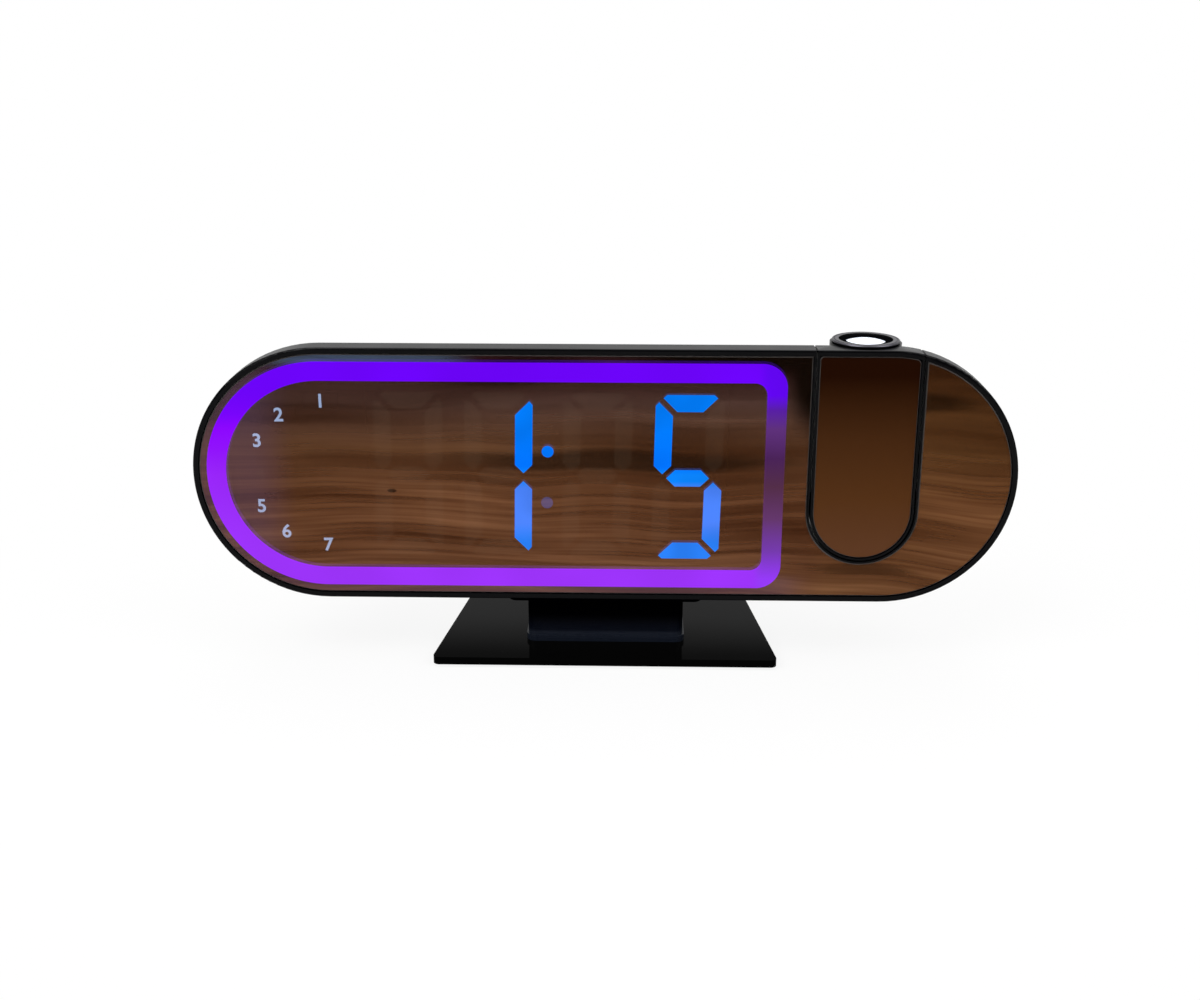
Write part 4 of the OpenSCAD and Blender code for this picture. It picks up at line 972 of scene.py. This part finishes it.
def solids_of(node: str) -> list[np.ndarray]:
    """Give the corner points of a CAD node's separate solids.

    Corners at one place count as one. Each takes the lowest number among itself and its
    neighbours until no number changes, and then a solid's corners share one number.

    Args:
        node: The CAD node.

    Returns:
        One array of points per solid, from left to right.
    """
    mesh = bpy.data.objects[node].data
    points = points_of(mesh)
    ends = np.empty(len(mesh.edges) * 2, dtype=np.int32)
    mesh.edges.foreach_get("vertices", ends)
    cells = np.round(points / (0.001 * MM)).astype(np.int64)
    _, place = np.unique(cells, axis=0, return_inverse=True)
    place = place.reshape(-1)
    first, second = place[ends.reshape(-1, 2)].T
    number = np.arange(place.max() + 1)
    settled = False
    while not settled:
        lower = number.copy()
        np.minimum.at(lower, first, number[second])
        np.minimum.at(lower, second, number[first])
        lower = lower[lower]
        settled = bool((lower == number).all())
        number = lower
    solids = [points[number[place] == one] for one in np.unique(number)]
    return sorted(solids, key=lambda solid: (round(solid[:, 0].min(), 5), solid[:, 2].min()))


def outline_of(points: np.ndarray) -> np.ndarray:
    """Give the convex outline of points as seen along Y, as rows of X and Z."""
    flat = np.unique(np.round(points[:, [0, 2]], 6), axis=0)
    return flat[convex_hull_2d(flat.tolist())]


class HeadEnd(Enum):
    """Where the heads of a node's screws are."""

    BACK = "back"
    FOOT = "foot"


@dataclass
class Fastener:
    """A pan-head screw along Y, with a cross recess in its head."""

    head_radius: float
    head_height: float
    shank_share: float = 0.38
    dome_share: float = 0.3
    arm_share: float = 0.62
    arm_width_share: float = 0.17
    recess_share: float = 0.55
    rings: int = 20
    turns: int = 72

    def points(self, x: float, z: float, under_head: float, tip: float) -> np.ndarray:
        """Work out one screw's grid.

        The head's top is a dome over (r, t). A recess of cross form is taken out of it:
        depth is the product of two soft steps, one across an arm, from 0.7 to 1.3 of its
        width, and one along it, from 0.8 of its length to the whole. The rim then runs down
        the head's side and along the shank to its tip.

        Args:
            x: The screw's place along X.
            z: The screw's place along Z.
            under_head: Depth of the head's seat.
            tip: Depth of the shank's tip.

        Returns:
            The vertices by ring and turn.
        """
        turn = np.linspace(0, 2 * math.pi, self.turns, endpoint=False)
        radius = np.linspace(0, self.head_radius, self.rings)[:, None]
        across, up = radius * np.cos(turn), radius * np.sin(turn)
        out = 1 if under_head > tip else -1
        dome = self.head_height * (1 - self.dome_share * (radius / self.head_radius) ** 2)
        nearer = np.minimum(abs(across), abs(up))
        farther = np.maximum(abs(across), abs(up))
        width = self.arm_width_share * self.head_radius
        reach = self.arm_share * self.head_radius
        wall = 1 - np.clip((nearer - width * 0.7) / (width * 0.6), 0, 1)
        end = 1 - np.clip((farther - reach * 0.8) / (reach * 0.2), 0, 1)
        height = dome - self.recess_share * self.head_height * wall * end
        top = np.stack([x + across, under_head + out * height, z + up], axis=-1)
        shank, foot = self.head_radius * self.shank_share, -abs(under_head - tip)
        rim = np.array([(self.head_radius, 0.0), (shank, 0.0), (shank, foot), (0.0, foot)])
        ring, depth = rim[:, :1], rim[:, 1:] + 0 * turn
        round_x, round_z = x + ring * np.cos(turn), z + ring * np.sin(turn)
        side = np.stack([round_x, under_head + out * depth, round_z], axis=-1)
        return np.concatenate([top, side])


def screws(
    node: str,
    name: str,
    body: str,
    material: Material,
    head_height: float,
    head_end: HeadEnd = HeadEnd.BACK,
) -> Piece:
    """Replace a node of plain screws by screws with cross recesses.

    Args:
        node: The CAD node of the screws, along Y or, with heads at the foot, along Z.
        name: The new piece's name.
        body: The body that they ride on.
        material: Their material.
        head_height: Height of a head.
        head_end: Where their heads are.

    Returns:
        The piece.
    """
    grids = []
    for solid in solids_of(node):
        if head_end is HeadEnd.FOOT:
            solid = solid[:, [0, 2, 1]] * (1, -1, 1)
        low, high = solid.min(0), solid.max(0)
        middle = (low + high) / 2
        head = Fastener((high[0] - low[0]) / 2, head_height)
        points = head.points(middle[0], middle[2], high[1] - head_height, low[1])
        if head_end is HeadEnd.FOOT:
            points = points[..., [0, 2, 1]] * (1, 1, -1)
        grids.append(points)
    # A quad joins each vertex of a ring, the next one and their two of the next ring.
    rows, columns = grids[0].shape[:2]
    row, column = np.meshgrid(np.arange(rows - 1), np.arange(columns), indexing="ij")
    beside = (column + 1) % columns
    quads = np.stack(
        [
            at_row * columns + at_column
            for at_row, at_column in (
                (row, column),
                (row, beside),
                (row + 1, beside),
                (row + 1, column),
            )
        ],
        axis=-1,
    ).reshape(-1, 4)
    faces = [quads + number * rows * columns for number in range(len(grids))]
    mesh = bpy.data.meshes.new(name)
    points = np.concatenate(grids).reshape(-1, 3)
    mesh.from_pydata(points.tolist(), [], np.concatenate(faces).tolist())
    piece = new_piece(name, mesh)
    weld(piece, smooth_degrees=35)
    dress(piece, material)
    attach(piece, body)
    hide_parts(node)
    LOG.info("%s: %d screws", name, len(grids))
    return piece


@dataclass
class Finishes:
    """Every material of the clock, made once from the face's place."""

    middle: Vector
    half_height: float
    made: dict[str, Material] = field(default_factory=dict)

    def build(self) -> None:
        """Make the materials, each from the real one that it stands for."""
        lit, unlit = (
            tuple(outline_of(solid) for solid in solids_of(node))
            for node in ("lit_segments", "unlit_segments")
        )
        round_unlit = tuple(outline for outline in unlit if len(outline) > ROUND_FROM)
        # Painted reflection on the arm's mirror: brown, darkest towards the top.
        arm_reflection_tones = (
            (0.2, "#4e301d"),
            (0.42, "#452812"),
            (0.67, "#371e0c"),
            (0.92, "#190701"),
        )
        # The ghost tone is a faint painted glow for unlit parts.
        day, ghost = (((0.0, tone), (1.0, tone)) for tone in ("#b4d2ff", "#a8947c"))
        low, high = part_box("focus_ring")
        ring_axis = (low.x + high.x) / 2, (low.y + high.y) / 2
        light_band = EdgeLitBand("acrylic_edge_lit_violet", self.middle)
        digits = LitDiffuser("diffuser_lit_blue", self.middle.z)
        # Name, colour, roughness, specular level, and the grain's width and depth in mm.
        moulded = (
            # ABS from a spark-etched mould: fine grain, dull sheen.
            ("abs_etched_black", "#161618", 0.5, 0.4, 0.5, 0.02),
            # ABS buttons, smoother than the shell from touch: a softer, brighter sheen.
            ("abs_button_grey", "#29292c", 0.38, 0.5, 0.6, 0.006),
            # Black mask print behind the face: flat and matt.
            ("mask_print_black", "#1a120e", 0.7, 0.1, 0.3, 0.002),
            # Black light wells of the digits: matt, so that no light strays.
            ("reflector_black", "#1a120e", 0.7, 0.1, 0.3, 0.002),
            # Polycarbonate light pipes, unlit: dark, with hardly any grain.
            ("pc_light_pipe", "#1a120e", 0.6, 0.1, 2, 0.002),
            # Flexible led strip under white print: bright and evenly dull.
            ("flex_white_mask", "#dedace", 0.5, 0.4, 0.8, 0.004),
            # Led packages of cream resin: warm, with a soft gloss.
            ("led_cream_package", "#efe9d2", 0.4, 0.5, 0.8, 0.003),
            # Chips of black epoxy: dark grey with a fine sandy face.
            ("epoxy_black_package", "#1b1b1e", 0.55, 0.4, 0.2, 0.006),
            # Paper cone of the speaker: fibrous and without gloss.
            ("speaker_paper_cone", "#26262a", 0.7, 0.3, 0.5, 0.02),
            # PVC jacket of the leads: smooth, with a long soft highlight.
            ("pvc_lead_jacket", "#1a1a1d", 0.45, 0.5, 0.5, 0.004),
            # Natural nylon washers: bone-coloured and waxy.
            ("nylon_natural", "#d8d0bc", 0.5, 0.4, 0.8, 0.004),
            # Lens barrel of black polycarbonate: as good as no reflection.
            ("pc_barrel_black", "#040405", 0.7, 0.0, 0.3, 0.008),
            # Exposed film of the image slide: dark, smooth and slightly blue.
            ("film_exposed_dark", "#2c323b", 0.25, 0.5, 1, 0.001),
            # Rubber feet: dull black with a visible grain.
            ("rubber_moulded_black", "#1e1e20", 0.8, 0.25, 0.3, 0.02),
        )
        kinds: list[Any] = [
            MouldedPlastic(name, colour, roughness, specular, grain * MM, depth * MM)
            for name, colour, roughness, specular, grain, depth in moulded
        ]
        kinds += [
            # ABS from a polished mould: deep black with a soft gloss.
            GlossPlastic("abs_gloss_black", "#020203", 0.2, 0.07),
            # Polished ABS neck of the stand, which mirrors the plate softly. By height, its
            # colour and gloss give painted shade under the body at the top, a painted navy
            # reflection lower down and a painted highlight on the lip at its foot.
            GlossPlastic(
                "abs_neck_black",
                "#06080e",
                0.25,
                0.1,
                "z",
                (
                    (2.8 * MM, "#12161f", 0.16),
                    (4.4 * MM, "#181c25", 0.2),
                    (5.4 * MM, "#080b14", 0.08),
                    (7.5 * MM, "#05070f", 0.04),
                    (10.5 * MM, "#010102", 0.0),
                ),
            ),
            # Steel plate under gloss stove enamel, smooth enough to mirror the neck. Its
            # colour and
            # gloss fade darker towards the front: painted shade on its reflection.
            GlossPlastic(
                "enamel_gloss_black",
                "#080808",
                0.06,
                0.02,
                "y",
                ((-20.5 * MM, "#030303", 0.004), (8 * MM, "#090909", 0.028)),
            ),
            # Half-mirror film on cast acrylic; its smoky brown with soft grain is a painted
            # reflection of a wooden table.
            SmokedHalfMirror(
                "acrylic_half_mirror_face",
                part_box("mirror_panel")[0].y,
                self.middle,
                self.half_height,
                0.1,
                # Painted reflection of a wooden table, darker towards the top as painted
                # shade.
                (
                    (0.0, "#755038"),
                    (0.4, "#6f4a31"),
                    (0.62, "#5a3c27"),
                    (0.8, "#47322b"),
                    (0.97, "#2f171a"),
                ),
                # The same painted reflection at the right end, warmer.
                (
                    (0.0, "#7a5539"),
                    (0.4, "#744e31"),
                    (0.62, "#5c3d22"),
                    (0.8, "#4a2e17"),
                    (0.97, "#3c220f"),
                ),
                light_band,
                digits,
                lit,
                round_unlit,
                band_box=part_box("light_guide"),
            ),
            # The same film over a closed casing, no light behind it: a plain brown painted
            # reflection.
            SmokedHalfMirror(
                "acrylic_half_mirror_arm",
                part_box("arm_mirror")[0].y,
                self.middle,
                self.half_height,
                0.0,
                arm_reflection_tones,
                arm_reflection_tones,
            ),
            # Edge-lit acrylic and the film over the blue leds: even, saturated glows, the
            # digits paled in their lower uprights by a painted reflection.
            light_band,
            digits,
            # Film over the brighter weekday leds: a pale blue that nearly burns out.
            LitDiffuser("diffuser_lit_weekday", self.middle.z, day, strength=6.0),
            # Unlit diffuser film with a faint painted glow for stray light: a pale ghost
            # through the mirror.
            LitDiffuser("diffuser_unlit_milky", self.middle.z, ghost, strength=0.22),
            # Green solder mask over copper: a lacquer gloss with lighter tracks.
            SolderMask("board_green_mask", "#14502b", "#2c7a45"),
            # Zinc-plated steel screws: bright, with slightly blurred highlights.
            PlatedMetal("steel_zinc_plated", "#c3c6ca", 0.28),
            # Blackened steel screws: dark grey with a dull metallic sheen.
            PlatedMetal("steel_blackened", "#3a3a3d", 0.38),
            # Nickel-plated shells of cell and sockets: the brightest, marked along X.
            PlatedMetal("steel_nickel_plated", "#cfd1d4", 0.22, stretch=(0.05, 1.0, 1.0)),
            # Gold-flashed brass contacts: warm yellow.
            PlatedMetal("brass_gold_flashed", "#d6b25e", 0.25),
            # Turned steel of the pivot: mid grey, marked along its axis.
            PlatedMetal("steel_turned", "#a3a6aa", 0.3, stretch=(0.05, 1.0, 1.0)),
            # Anodised aluminium, satin dark grey, with painted shade in its bore.
            TurnedRing("aluminium_anodised_grey", *ring_axis),
            # Polished lens: pale and shiny, with a soft painted glow.
            LensAcrylic("acrylic_lens_clear"),
            # Moulded condenser inside the barrel, without the painted glow.
            LensAcrylic("acrylic_condenser", glow=0.0),
        ]
        for kind in kinds:
            self.made[kind.name] = kind.build()
        LOG.info("finishes: %d materials", len(self.made))

    def __getitem__(self, name: str) -> Material:
        """Give a material by its name."""
        return self.made[name]


# The nodes that are shown as they are, by finish.
PLAIN_DRESS = {
    "abs_etched_black": ("battery_door",),
    "acrylic_condenser": ("condenser_lens",),
    "acrylic_edge_lit_violet": ("light_guide",),
    "acrylic_half_mirror_face": ("mirror_panel",),
    "board_green_mask": ("display_board", "main_board", "projector_board"),
    "brass_gold_flashed": ("cell_contacts",),
    "diffuser_lit_blue": ("lit_segments",),
    "diffuser_unlit_milky": ("unlit_segments",),
    "epoxy_black_package": ("board_header", "control_chips", "tact_switches"),
    "film_exposed_dark": ("image_slide",),
    "flex_white_mask": ("band_led_strip",),
    "led_cream_package": ("band_leds", "display_leds", "projector_led"),
    "mask_print_black": ("light_mask",),
    "nylon_natural": ("friction_washers",),
    "pc_barrel_black": ("lens_barrel", "lens_cell"),
    "pc_light_pipe": ("weekday_light_pipes",),
    "pvc_lead_jacket": ("pivot_lead", "arm_lead"),
    "reflector_black": ("digit_block",),
    "rubber_moulded_black": ("rubber_feet",),
    "speaker_paper_cone": ("speaker",),
    "steel_nickel_plated": ("usb_port", "power_socket", "coin_cell"),
    "steel_turned": ("pivot_sleeves", "pivot_clips"),
    "steel_zinc_plated": ("display_board_screws", "main_board_screws", "neck_screws"),
}


@dataclass
class Face:
    """The front frame, the mirror panel and the weekday numerals behind it."""

    finishes: Finishes
    numeral_height: float = 3.3 * MM
    numeral_thickness: float = 0.04 * MM
    # Height of a capital as a share of the font's size.
    capital_share: float = 0.7
    # How far an outline grows, for a bolder stroke.
    bolder: float = 0.1 * MM
    gap_behind: float = 0.03 * MM
    # Half the height and half the width of a light pipe.
    pipe_half: float = 2.1 * MM
    pipe_reach: float = 4.2 * MM
    unlit_day: int = 4
    # Each numeral's place from the arc's centre, as shares of its radius.
    place_shares: tuple[tuple[float, float], ...] = (
        (0.0, 0.776),
        (-0.434, 0.629),
        (-0.677, 0.354),
        (-0.668, 0.0),
        (-0.677, -0.354),
        (-0.434, -0.629),
        (0.0, -0.776),
    )

    def build(self) -> None:
        """Dress the frame and set the numerals."""
        finish = self.finishes["abs_gloss_black"]
        smooth_copy("front_frame", CLOCK_BODY, finish, "rim_frame")
        self.numerals()

    def numerals(self) -> None:
        """Set one plain numeral in front of each weekday light pipe.

        The first pipe gives the arc's radius: it stands radius * share above its middle.
        """
        low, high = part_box("weekday_light_pipes")
        middle_z = (low.z + high.z) / 2
        radius = (high.z - middle_z - self.pipe_half) / self.place_shares[0][1]
        centre_x, back = high.x - self.pipe_reach, low.y - self.gap_behind
        for number, (x_share, z_share) in enumerate(self.place_shares, start=1):
            at = Vector((centre_x + x_share * radius, back, middle_z + z_share * radius))
            piece = self.numeral(f"weekday_numeral_{number}", str(number), at)
            lit = number != self.unlit_day
            finish = "diffuser_lit_weekday" if lit else "diffuser_unlit_milky"
            dress(piece, self.finishes[finish])
            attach(piece, CLOCK_BODY)
        LOG.info("weekday numerals: 7")

    def numeral(self, name: str, words: str, at: Vector) -> Piece:
        """Make one thin numeral that stands upright and faces the front.

        Args:
            name: The piece's name.
            words: The figure.
            at: The middle of the numeral's back.

        Returns:
            The numeral as a mesh at the origin.
        """
        curve = bpy.data.curves.new(name, "FONT")
        curve.body = words
        curve.size = self.numeral_height / self.capital_share
        curve.extrude = self.numeral_thickness / 2
        curve.offset = self.bolder
        curve.align_x = "CENTER"
        curve.align_y = "CENTER"
        shaped = new_piece(name + "_curve", curve)
        graph = bpy.context.evaluated_depsgraph_get()
        mesh = bpy.data.meshes.new_from_object(shaped.evaluated_get(graph))
        bpy.data.objects.remove(shaped)
        flat = points_of(mesh)
        stood = np.stack([flat[:, 0], -flat[:, 2], flat[:, 1]], axis=-1)
        middle = (stood.min(0) + stood.max(0)) / 2
        stood += np.array(at) - middle - np.array([0, self.numeral_thickness / 2, 0])
        mesh.vertices.foreach_set("co", stood.ravel())
        piece = new_piece(name, mesh)
        weld(piece, smooth_degrees=20)
        return piece


@dataclass
class BackOfClock:
    """The back shell, its buttons and its screws."""

    finishes: Finishes
    head_height: float = 1.6 * MM

    def build(self) -> None:
        """Dress the shell and the buttons, and give the screws their recesses."""
        finish = self.finishes["abs_etched_black"]
        smooth_copy("back_shell", CLOCK_BODY, finish, "rear_shell")
        finish = self.finishes["abs_button_grey"]
        for name in ("mode", "alarm", "up", "down", "light", "projection"):
            node = "button_" + name
            smooth_copy(node, node, finish, "cap_" + name)
        screws(
            "shell_screws",
            "shell_screws_cross",
            CLOCK_BODY,
            self.finishes["steel_blackened"],
            self.head_height,
        )


@dataclass
class Arm:
    """The projector arm's casing, its mirror and its screws."""

    finishes: Finishes
    corner_radius: float = 1.0 * MM
    slope: float = 0.22 * MM
    head_height: float = 1.0 * MM

    def build(self) -> None:
        """Dress the casing, bevel the mirror and recess the screws."""
        finish = self.finishes["abs_gloss_black"]
        for node, name in (("arm_front_shell", "arm_front"), ("arm_rear_shell", "arm_rear")):
            smooth_copy(node, ARM_BODY, finish, name)
        self.mirror()
        screws(
            "arm_screws",
            "arm_screws_cross",
            ARM_BODY,
            self.finishes["steel_blackened"],
            self.head_height,
        )

    def mirror(self) -> None:
        """Replace the arm's mirror by one with round top corners and a polished slope.

        The two upright corner edges are rounded first, and then the whole front rim is
        cut off at a slant.
        """
        finish = self.finishes["acrylic_half_mirror_arm"]
        piece = smooth_copy(
            "arm_mirror", ARM_BODY, finish, "arm_mirror_polished"
        )
        work = bmesh.new()
        work.from_mesh(piece.data)
        bmesh.ops.dissolve_limit(
            work, angle_limit=math.radians(1), verts=work.verts, edges=work.edges
        )
        face = min(vert.co.y for vert in work.verts)
        cut = {"profile": 0.5, "affect": "EDGES"}
        corners = [edge for edge in work.edges if self.is_top_corner(edge)]
        bmesh.ops.bevel(work, geom=corners, offset=self.corner_radius, segments=6, **cut)
        rim = [
            edge
            for edge in work.edges
            if all(abs(vert.co.y - face) < 0.01 * MM for vert in edge.verts)
        ]
        bmesh.ops.bevel(work, geom=rim, offset=self.slope, segments=1, **cut)
        work.to_mesh(piece.data)
        work.free()
        piece.data.shade_flat()

    def is_top_corner(self, edge: bmesh.types.BMEdge) -> bool:
        """Tell whether an edge runs along Y where the mirror's side meets its top."""
        one, other = (vert.co for vert in edge.verts)
        along = abs(one.y - other.y) > 0.5 * MM
        return along and edge.calc_face_angle(0.0) > math.radians(60)


@dataclass
class FocusGroup:
    """The focus ring and the projection lens."""

    finishes: Finishes

    def build(self) -> None:
        """Dress the ring and the lens as smooth turned pieces."""
        for node, body, slot, finish, name in (
            (
                "focus_ring",
                RING_BODY,
                "anodised_ring",
                "aluminium_anodised_grey",
                "focus_ring_turned",
            ),
            (
                "projection_lens",
                LENS_BODY,
                "optical_acrylic",
                "acrylic_lens_clear",
                "projection_lens_polished",
            ),
        ):
            smooth_copy(node, body, self.finishes[finish], name)


@dataclass
class Pedestal:
    """The neck, the base plate and the screws under it."""

    finishes: Finishes
    head_height: float = 1.2 * MM

    def build(self) -> None:
        """Dress the neck and the plate, and give the screws their recesses."""
        for node, slot, finish, name in (
            ("stand_neck", "stand_gloss_black", "abs_neck_black", "neck_polished"),
            ("base_plate", "plate_metal", "enamel_gloss_black", "plate_enamelled"),
        ):
            smooth_copy(node, CLOCK_BODY, self.finishes[finish], name)
        screws(
            "base_screws",
            "base_screws_cross",
            CLOCK_BODY,
            self.finishes["steel_zinc_plated"],
            self.head_height,
            HeadEnd.FOOT,
        )


@dataclass
class Studio:
    """The pale floor, the soft lamps, the white surround and the camera."""

    face_middle: Vector
    eye: Vector = field(default_factory=lambda: Vector((7.56, -335.6, 108.62)) * MM)
    aim: Vector = field(default_factory=lambda: Vector((-0.0233, 0.94642, -0.3221)))
    focal: float = 43.68
    sensor: float = 36
    floor_half: float = 6.0
    flag_half: float = 1.6
    flag_height: float = 1.3
    flag_at: float = -0.9
    near_white: float = 0.88
    # The floor's shadow fades out between these distances from the clock's middle.
    shadow_from: float = 70 * MM
    shadow_to: float = 200 * MM
    soft_light: float = 0.35
    gloss_light: float = 0.8

    def build(self) -> None:
        """Make the floor, the flag, the world, the lamps and the camera."""
        self.floor()
        self.flag()
        self.world()
        for name, at, size, power in (
            ("lamp_left", (-0.55, -0.55, 0.75), 0.7, 15.0),
            ("lamp_right", (0.7, -0.35, 0.65), 0.7, 9.0),
            ("lamp_above", (0.0, 0.35, 0.95), 0.9, 8.0),
        ):
            self.lamp(name, Vector(at), size, power)
        self.camera()

    def plane(self, name: str, points: list[tuple[float, ...]], material: Material) -> Piece:
        """Set a surface with four corners.

        Args:
            name: The surface's name.
            points: Its corners in order.
            material: Its material.

        Returns:
            The surface.
        """
        mesh = bpy.data.meshes.new(name)
        mesh.from_pydata(points, [], [(0, 1, 2, 3)])
        piece = new_piece(name, mesh)
        dress(piece, material)
        return piece

    def floor(self) -> None:
        """Lay the floor: white to the camera with the clock's shadow, plain pale otherwise.

        To the camera it glows by near_white beside the clock and by 1 farther away.
        """
        material, tree = new_material("studio_pale_paper")
        rays = add_node(tree, "LightPath", [])
        paper = add_node(tree, "BsdfDiffuse", {"Color": linear("#bdbdbc")})
        glow = add_node(tree, "Emission", {"Color": WHITE, "Strength": 1.0})
        away = add_node(tree, "VectorMath", [place_of(tree)["point"]], operation="LENGTH")
        far = soft_zone(tree, (away.outputs["Value"], self.shadow_from, self.shadow_to))
        white = [far, 1 - self.near_white, self.near_white]
        whiteness = add_node(tree, "Math", white, operation="MULTIPLY_ADD")
        seen = [rays.outputs["Is Camera Ray"], whiteness]
        share = add_node(tree, "Math", seen, operation="MULTIPLY")
        surface = add_node(tree, "MixShader", [share, paper, glow])
        add_node(tree, "OutputMaterial", [surface])
        half = self.floor_half
        points = [(-half, -half, 0), (half, -half, 0), (half, half, 0), (-half, half, 0)]
        floor = self.plane("studio_floor", points, material)

    def flag(self) -> None:
        """Stand a dark flag behind the camera, which keeps gloss on the face dark."""
        material, tree = new_material("studio_black_felt")
        felt = add_node(tree, "BsdfDiffuse", {"Color": linear("#0c0c0c")})
        add_node(tree, "OutputMaterial", [felt])
        wide, high, at = self.flag_half, self.flag_height, self.flag_at
        points = [(-wide, at, 0), (wide, at, 0), (wide, at, high), (-wide, at, high)]
        flag = self.plane("studio_flag", points, material)
        flag.visible_camera = False

    def world(self) -> None:
        """Surround the clock with white for the camera, and with soft grey light.

        The strength is the greatest of three: 1 where the camera looks, also through a
        clear piece, gloss_light where gloss mirrors it, and soft_light everywhere.
        """
        world = bpy.data.worlds.new("studio_surround")
        world.use_nodes = True
        tree = world.node_tree
        tree.nodes.clear()
        rays = add_node(tree, "LightPath", []).outputs
        seen = [rays["Is Camera Ray"], rays["Is Transmission Ray"]]
        shown = add_node(tree, "Math", seen, operation="MAXIMUM")
        mirrored = [rays["Is Glossy Ray"], self.gloss_light]
        gloss = add_node(tree, "Math", mirrored, operation="MULTIPLY")
        bright = add_node(tree, "Math", [shown, gloss], operation="MAXIMUM")
        strength = add_node(tree, "Math", [bright, self.soft_light], operation="MAXIMUM")
        surround = add_node(tree, "Background", {"Color": WHITE, "Strength": strength})
        add_node(tree, "OutputWorld", {"Surface": surround})
        bpy.context.scene.world = world

    def lamp(self, name: str, at: Vector, size: float, power: float) -> None:
        """Hang a square soft lamp that points at the face.

        Args:
            name: The lamp's name.
            at: Its place.
            size: Its side.
            power: Its power in watts.
        """
        light = bpy.data.lights.new(name, "AREA")
        light.size = size
        light.energy = power
        lamp = new_piece(name, light)
        lamp.location = at
        lamp.rotation_euler = (self.face_middle - at).to_track_quat("-Z", "Y").to_euler()

    def camera(self) -> None:
        """Set the camera where the photograph was taken from."""
        data = bpy.data.cameras.new("camera")
        data.lens = self.focal
        data.sensor_width = self.sensor
        data.clip_start = 10 * MM
        camera = new_piece("camera", data)
        camera.location = self.face_middle + self.eye
        camera.rotation_euler = self.aim.to_track_quat("-Z", "Y").to_euler()
        bpy.context.scene.camera = camera


def corners(box: tuple[Vector, Vector]) -> list[list[float]]:
    """Turn a box's two corners into plain lists of numbers."""
    return [[round(float(part), 6) for part in corner] for corner in box]


def main() -> None:
    """Load the solids, build the clock's pieces in order and set the studio."""
    logging.basicConfig(level=logging.INFO, format="%(name)s: %(message)s")
    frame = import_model()
    low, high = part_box("mirror_panel")
    middle = Vector((0.0, low.y - PANEL_SET, (low.z + high.z) / 2))
    finishes = Finishes(middle, (high.z - low.z) / 2)
    finishes.build()
    for finish, nodes in PLAIN_DRESS.items():
        for node in nodes:
            dress(frame["nodes"][node], finishes[finish])
            LOG.info("%s: %s", node, finish)
    for assembly in (
        Face(finishes),
        BackOfClock(finishes),
        Arm(finishes),
        FocusGroup(finishes),
        Pedestal(finishes),
        Studio(middle),
    ):
        assembly.build()
        LOG.info("%s built", type(assembly).__name__)
    settings = bpy.context.scene.view_settings
    settings.view_transform = "Standard"


if __name__ == "__main__":
    main()
